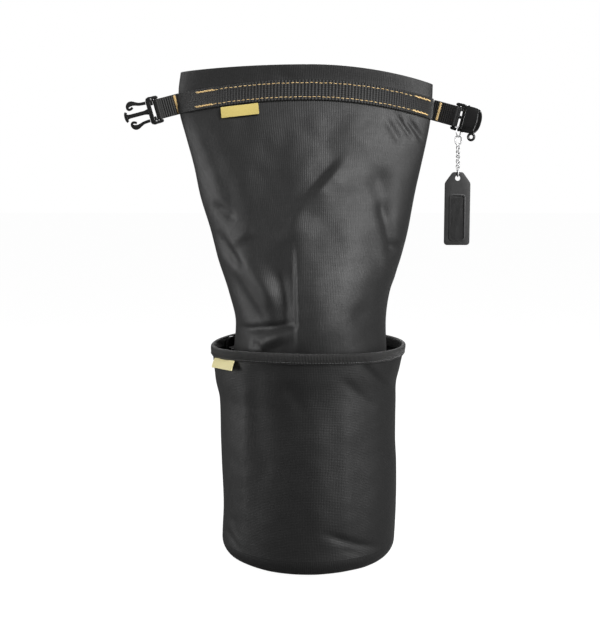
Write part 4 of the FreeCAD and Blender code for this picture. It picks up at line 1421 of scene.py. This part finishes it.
def make_plug():
    """The plug half's frame: slot, crossbar, and a centre stem with a curved head."""
    matrix = buckle_frame("left")
    frame_piece = plate(slot_outline(13.0), -0.0032, 0.0032, matrix, 0.0012, 3)
    bar = round_bar(BAR_RADIUS, BAR_LENGTH, matrix)
    line = smooth_line([(10, 0), (16, 0), (26, 0), (36, 0), (40.2, 0)])
    widths = []
    for x, _ in line:
        root = 2.6 * math.exp(-((x - 12) / 3.4) ** 2)
        tip = 3.0 * math.exp(-((x - 41) / 2.6) ** 2)
        widths.append(4.8 + root + tip)
    stem = plate(strip_outline(line, widths), -0.0018, 0.0018, matrix, 0.0006, 2)
    curve = smooth_line([(39.9, 5.9), (40.9, 4.2), (41.4, 1.8), (41.4, -1.8), (40.9, -4.2), (39.9, -5.9)])
    head_outline = strip_outline(curve, [3.0 + 0.7 * math.cos(y / 5) for _, y in curve])
    head = plate(head_outline, -0.002, 0.002, matrix, 0.0008, 3)
    for part in (bar, stem, head):
        join_with(frame_piece, part)
    fills = [bridge(6.6, 13.6, matrix), bridge(-13.6, -7.6, matrix)]
    lumps = [shoulder_lump(side, matrix) for side in (-1, 1)]
    frame_piece = joined([frame_piece] + fills + lumps)
    dress(frame_piece, "plug_frame", "plastic", "male_buckle", 40)
    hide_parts("male_buckle")


def make_prong(side, name):
    """A springy arm that swells into a ribbed thumb pad and curls in at its tip."""
    line = smooth_line([
        (13.4, 11.2), (17, 11.3), (22, 11.9), (26, 13.4), (30, 14.7), (33.4, 14.4), (36, 12.4),
        (36.6, 9.9), (35.0, 8.2), (32.6, 8.5), (30.2, 9.8),
    ])
    count = len(line)
    widths = []
    for i, (x, y) in enumerate(line):
        share = i / (count - 1)
        swell = 2.8 * math.exp(-((share - 0.47) / 0.15) ** 2)
        ribs = 0.28 * math.cos(i * 2.2) * math.exp(-((share - 0.42) / 0.1) ** 2)
        widths.append(3.6 - 0.9 * share + swell + ribs)
    outline = strip_outline([(x, side * y) for x, y in line], widths)
    piece = plate(outline, -0.0028, 0.0028, buckle_frame("left"), 0.0007, 3)
    dress(piece, name + "_arm", "plastic", name, 40)
    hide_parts(name)


def stadium(turn, half_width, half_thick):
    """A rounded oblong."""
    c, s = math.cos(turn), math.sin(turn)
    y = half_width * math.copysign(abs(c) ** 0.55, c)
    return y, half_thick * math.copysign(abs(s) ** 0.62, s)


def socket_body(matrix):
    """The hollow body: a swelling sleeve, closed behind, with a window in each side."""
    start, end = 0.0098, 0.032

    def place(s, t):
        x = start + (end - start) * t
        swell = 0.0006 * math.sin(math.pi * t) + 0.0005 * smooth_step(0.9, 0.97, t)
        shoulder = 0.0022 * (1 - smooth_step(0.0, 0.16, t))
        half = 0.0169 - shoulder * 0.5 + swell * 0.3 - 0.0022 * t**4
        y, z = stadium(TAU * s, half, 0.0054 - shoulder + swell)
        x -= 0.0042 * abs(y / half) ** 2.4 * t * t
        return Vector((x, y, z))

    sleeve = sheet_mesh(96, 40, place, (0.08, 0.022), closed=True)
    work = bmesh.new()
    work.from_mesh(sleeve.data)
    gone = []
    for face in work.faces:
        middle = face.calc_center_median()
        if 0.0135 < middle.x < 0.0245 and abs(middle.z) < 0.0036 and abs(middle.y) > 0.013:
            gone.append(face)
    bmesh.ops.delete(work, geom=gone, context="FACES")
    rim = [e for e in work.edges if e.is_boundary and all(abs(v.co.x - start) < 1e-5 for v in e.verts)]
    bmesh.ops.contextual_create(work, geom=rim)
    bmesh.ops.recalc_face_normals(work, faces=work.faces)
    work.to_mesh(sleeve.data)
    work.free()
    add_modifier(sleeve, "SOLIDIFY", thickness=0.0019, offset=-1)
    add_modifier(sleeve, "BEVEL", width=0.0004, segments=2, limit_method="ANGLE")
    sleeve.matrix_world = matrix
    apply_all(sleeve)
    face_outwards(sleeve)
    return sleeve


def make_socket():
    """The socket half: slot and bar, hollow body, and a small lug below."""
    matrix = buckle_frame("right")
    body = socket_body(matrix)
    slot_piece = plate(slot_outline(11.6), -0.0022, 0.0022, matrix, 0.0015, 4)
    bar = round_bar(BAR_RADIUS, BAR_LENGTH, matrix)
    deselect()
    bpy.ops.mesh.primitive_torus_add(
        major_radius=0.0039, minor_radius=0.0016, major_segments=32, minor_segments=12
    )
    lug = bpy.context.object
    lug.matrix_world = matrix @ Matrix.Translation((0.0265, -0.0193, 0))
    apply_all(lug)
    join_with(slot_piece, bar)
    bridges = [bridge(-1.6, 2.2, matrix), bridge(7.6, 13.6, matrix)]
    piece = joined([body, slot_piece, lug] + bridges)
    dress(piece, "socket_half", "plastic", "female_buckle", 40)
    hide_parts("female_buckle")


# ---------------------------------------------------------------- chain

FINE_WIRE = 0.00058
FINE_WIDTH = 0.0062
UPPER_FINE_LINKS = 6
LOWER_FINE_LINKS = 5
CLASP_WIRE = 0.0016
TAG_LINK_WIRE = 0.0015


def fine_link(top, length, width, turn):
    """An oval wire link that hangs from its outer top."""
    radius = width / 2 - FINE_WIRE
    reach = length / 2 - FINE_WIRE
    middle = top - Vector((0, 0, length / 2))
    across = Vector((math.cos(turn), math.sin(turn), 0))
    points = []
    for i in range(20):
        angle = TAU * i / 20
        rise = reach * math.copysign(abs(math.sin(angle)) ** 0.86, math.sin(angle))
        points.append(middle + across * (radius * math.cos(angle)) + Vector((0, 0, rise)))
    return wire_loop(points, FINE_WIRE, sides=8)


def make_chain():
    """A fine chain between the clasp and the tag's link, its links a quarter turn apart."""
    clasp_low = Vector(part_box("chain_clasp")[0])
    clasp_high = Vector(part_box("chain_clasp")[1])
    link_high = Vector(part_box("tag_link")[1])
    x, y = (clasp_low.x + clasp_high.x) / 2, (clasp_low.y + clasp_high.y) / 2
    gap = 0.0002
    overlap = 4 * FINE_WIRE + gap
    top = clasp_low.z + CLASP_WIRE + gap + 2 * FINE_WIRE
    middle = joint_place("chain_bend").z + overlap / 2
    bottom = link_high.z - TAG_LINK_WIRE - gap - 2 * FINE_WIRE
    upper, lower = UPPER_FINE_LINKS, LOWER_FINE_LINKS
    runs = {
        "chain_upper": (top, (top - middle) / upper, upper, 0),
        "chain_lower": (middle, (middle - bottom - overlap) / lower, lower, upper),
    }
    links = {}
    for body, (start, pitch, count, before) in runs.items():
        links[body] = []
        for i in range(count):
            turn = math.radians(45 + 90 * (i + before))
            link_top = Vector((x, y, start - i * pitch))
            links[body].append(fine_link(link_top, pitch + overlap, FINE_WIDTH, turn))
    for body, node in (("chain_upper", "chain_upper_links"), ("chain_lower", "chain_lower_links")):
        piece = joined(links[body])
        dress(piece, body + "_fine_links", "metal", body, 60)
        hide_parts(node)


# ---------------------------------------------------------------- tag

TAG_HALF = 0.016
TAG_LENGTH = 0.091
TAG_FACE = 0.0015
HOLE_RADIUS = 0.00335
HOLE_DROP = 0.0075
PANE_HALF = 0.0085
PANE_LOW = 0.007 - TAG_LENGTH
PANE_HIGH = PANE_LOW + 0.055
PANE_ROUND = 0.0025
PANE_DEPTH = 0.0014
BORDER_WIDTH = 0.0018
BORDER_RISE = 0.0007
BORDER_ROUND = 0.0043


def tag_matrix():
    """Origin at the middle of the tag's crown, X right, Y up, Z to the front."""
    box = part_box("tag_body")
    low, high = Vector(box[0]), Vector(box[1])
    origin = Vector(((low.x + high.x) / 2, (low.y + high.y) / 2, high.z))
    return frame_matrix(origin, Vector((1, 0, 0)), Vector((0, 0, 1)))


def rounded_box(half, low, high, radius, steps=6):
    """An upright oblong with round corners."""
    points = []
    for cx, cy, turn in (
        (half - radius, high - radius, 0),
        (-half + radius, high - radius, 90),
        (-half + radius, low + radius, 180),
        (half - radius, low + radius, 270),
    ):
        for step in range(steps + 1):
            angle = math.radians(turn + 90 * step / steps)
            points.append((cx + radius * math.cos(angle), cy + radius * math.sin(angle)))
    return points


def tag_outline():
    """A long tag with curved shoulders up to a narrow crown."""
    side = smooth_line([(16, -16.4), (15.6, -13.4), (13.2, -9.6), (9.6, -4.6), (6.8, -1.0), (4.6, -0.05)], 4)
    crown = mm(side)
    foot = [p for p in rounded_box(TAG_HALF, -TAG_LENGTH, 0, 0.004) if p[1] < -0.05]
    return crown + [(-x, y) for x, y in crown[::-1]] + foot


def make_tag():
    """The tag's body with its hole and recess, and the raised border round the window."""
    matrix = tag_matrix()
    body = plate(tag_outline(), -TAG_FACE, TAG_FACE, matrix, 0.0007, 3)
    hole_place = matrix @ Matrix.Translation((0, -HOLE_DROP, 0)) @ Matrix.Rotation(math.pi / 2, 4, "X")
    hole = round_bar(HOLE_RADIUS, 0.01, hole_place, 40)
    cut_with(body, hole)
    pane = rounded_box(PANE_HALF, PANE_LOW, PANE_HIGH, PANE_ROUND)
    recess = plate(pane, TAG_FACE - PANE_DEPTH, 0.004, matrix, 0.00005, 1)
    cut_with(body, recess)
    dress(body, "tag_leather", "tag", "tag", 40)
    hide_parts("tag_body")
    low, high = PANE_LOW - BORDER_WIDTH, PANE_HIGH + BORDER_WIDTH
    edge = rounded_box(PANE_HALF + BORDER_WIDTH, low, high, BORDER_ROUND)
    border = plate(edge, TAG_FACE, TAG_FACE + BORDER_RISE, matrix, 0.0003, 2)
    opening = plate(pane, 0, 0.005, matrix, 0.00005, 1)
    cut_with(border, opening)
    dress(border, "tag_border", "tag", "tag", 40)
    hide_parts("tag_frame")


# ---------------------------------------------------------------- webbing and ring inside the rim


TAB_AZIMUTH = math.radians(151)
TAB_LOOP_RADIUS = 0.0035
TAB_BEND = -0.0065
TAB_END = -0.03
FLARE_OUT = 0.2142  # the flared wall rises in this direction
FLARE_UP = 0.9768
BASE_TAPE_WIDTH = 0.0125
TUBE_BASE_RADIUS = 0.102


def make_ring_tab():
    """Doubled webbing inside the rim that holds the ring's bar."""
    place = joint_place("inner_ring_pivot")
    along = joint_axis("inner_ring_pivot")
    out = Vector((math.cos(TAB_AZIMUTH), math.sin(TAB_AZIMUTH), 0))
    up = out * FLARE_OUT + Vector((0, 0, FLARE_UP))
    if up.cross(along).dot(out) < 0:
        along = -along
    matrix = frame_matrix(place, up, along)
    points = []
    for i in range(15):
        angle = math.radians(125 - 250 * i / 14)
        points.append(Vector((TAB_LOOP_RADIUS * math.cos(angle), 0, -TAB_LOOP_RADIUS * math.sin(angle))))
    near = Vector((TAB_BEND, 0, 0.0015))
    far = Vector((TAB_BEND, 0, 0.0035))
    first, last = (near, far) if points[0].z < points[-1].z else (far, near)
    points = [Vector((TAB_END, 0, first.z)), first] + points + [last, Vector((TAB_END, 0, last.z))]
    piece = ribbon(points, matrix, 80)
    dress(piece, "ring_tab_webbing", "webbing", "bag", 50)
    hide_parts("inner_ring_tab")
    path_length(points)


def make_hidden_cloth():
    """The tape inside the base's seam and the disc that closes the tube."""
    low, high = BASE_ROUND, BASE_ROUND + BASE_TAPE_WIDTH
    profile = [(low + (high - low) * k / 6, -0.0028) for k in range(7)]
    profile += [(low + (high - low) * k / 6, -0.0038) for k in range(6, -1, -1)]
    band = band_round_bucket("base_seam_tape_cloth", "tape", profile, "base_seam_tape", columns=160)
    deselect()
    spot = (0, 0, TUBE_BOTTOM + CLOTH_THICK / 2)
    bpy.ops.mesh.primitive_circle_add(vertices=96, radius=TUBE_BASE_RADIUS, fill_type="NGON", location=spot)
    disc = bpy.context.object
    add_modifier(disc, "SOLIDIFY", thickness=CLOTH_THICK, offset=0)
    apply_all(disc)
    face_outwards(disc)
    dress(disc, "tube_base_cloth", "bucket_cloth", "bag", 40)
    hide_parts("tube_base_panel")


# ---------------------------------------------------------------- what the frame carries


def dress_carried():
    """Finishes for the solid pieces that stay as they are."""
    finishes = {
        "inner_ring": "plastic",
        "chain_ring": "metal",
        "chain_clasp": "metal",
        "tag_link": "metal",
        "tag_card": "card",
        "tag_window": "pane",
        "base_stiffener": "foam",
        "inner_ring_tack": "thread",
    }
    for name, finish in finishes.items():
        node = frame["nodes"][name]
        node.data.materials.clear()
        node.data.materials.append(MATERIALS[finish])


add_camera()
add_lights()
add_world()
add_floor()
make_bucket()
make_tube()
make_mouth_strap()
make_strap_stitches()
make_strap_end_tacks()
make_strap_end("left", -0.0012)
make_strap_end("right", -0.005)
make_labels()
make_plug()
make_prong(1, "upper_prong")
make_prong(-1, "lower_prong")
make_socket()
make_chain()
make_tag()
make_ring_tab()
make_hidden_cloth()
dress_carried()
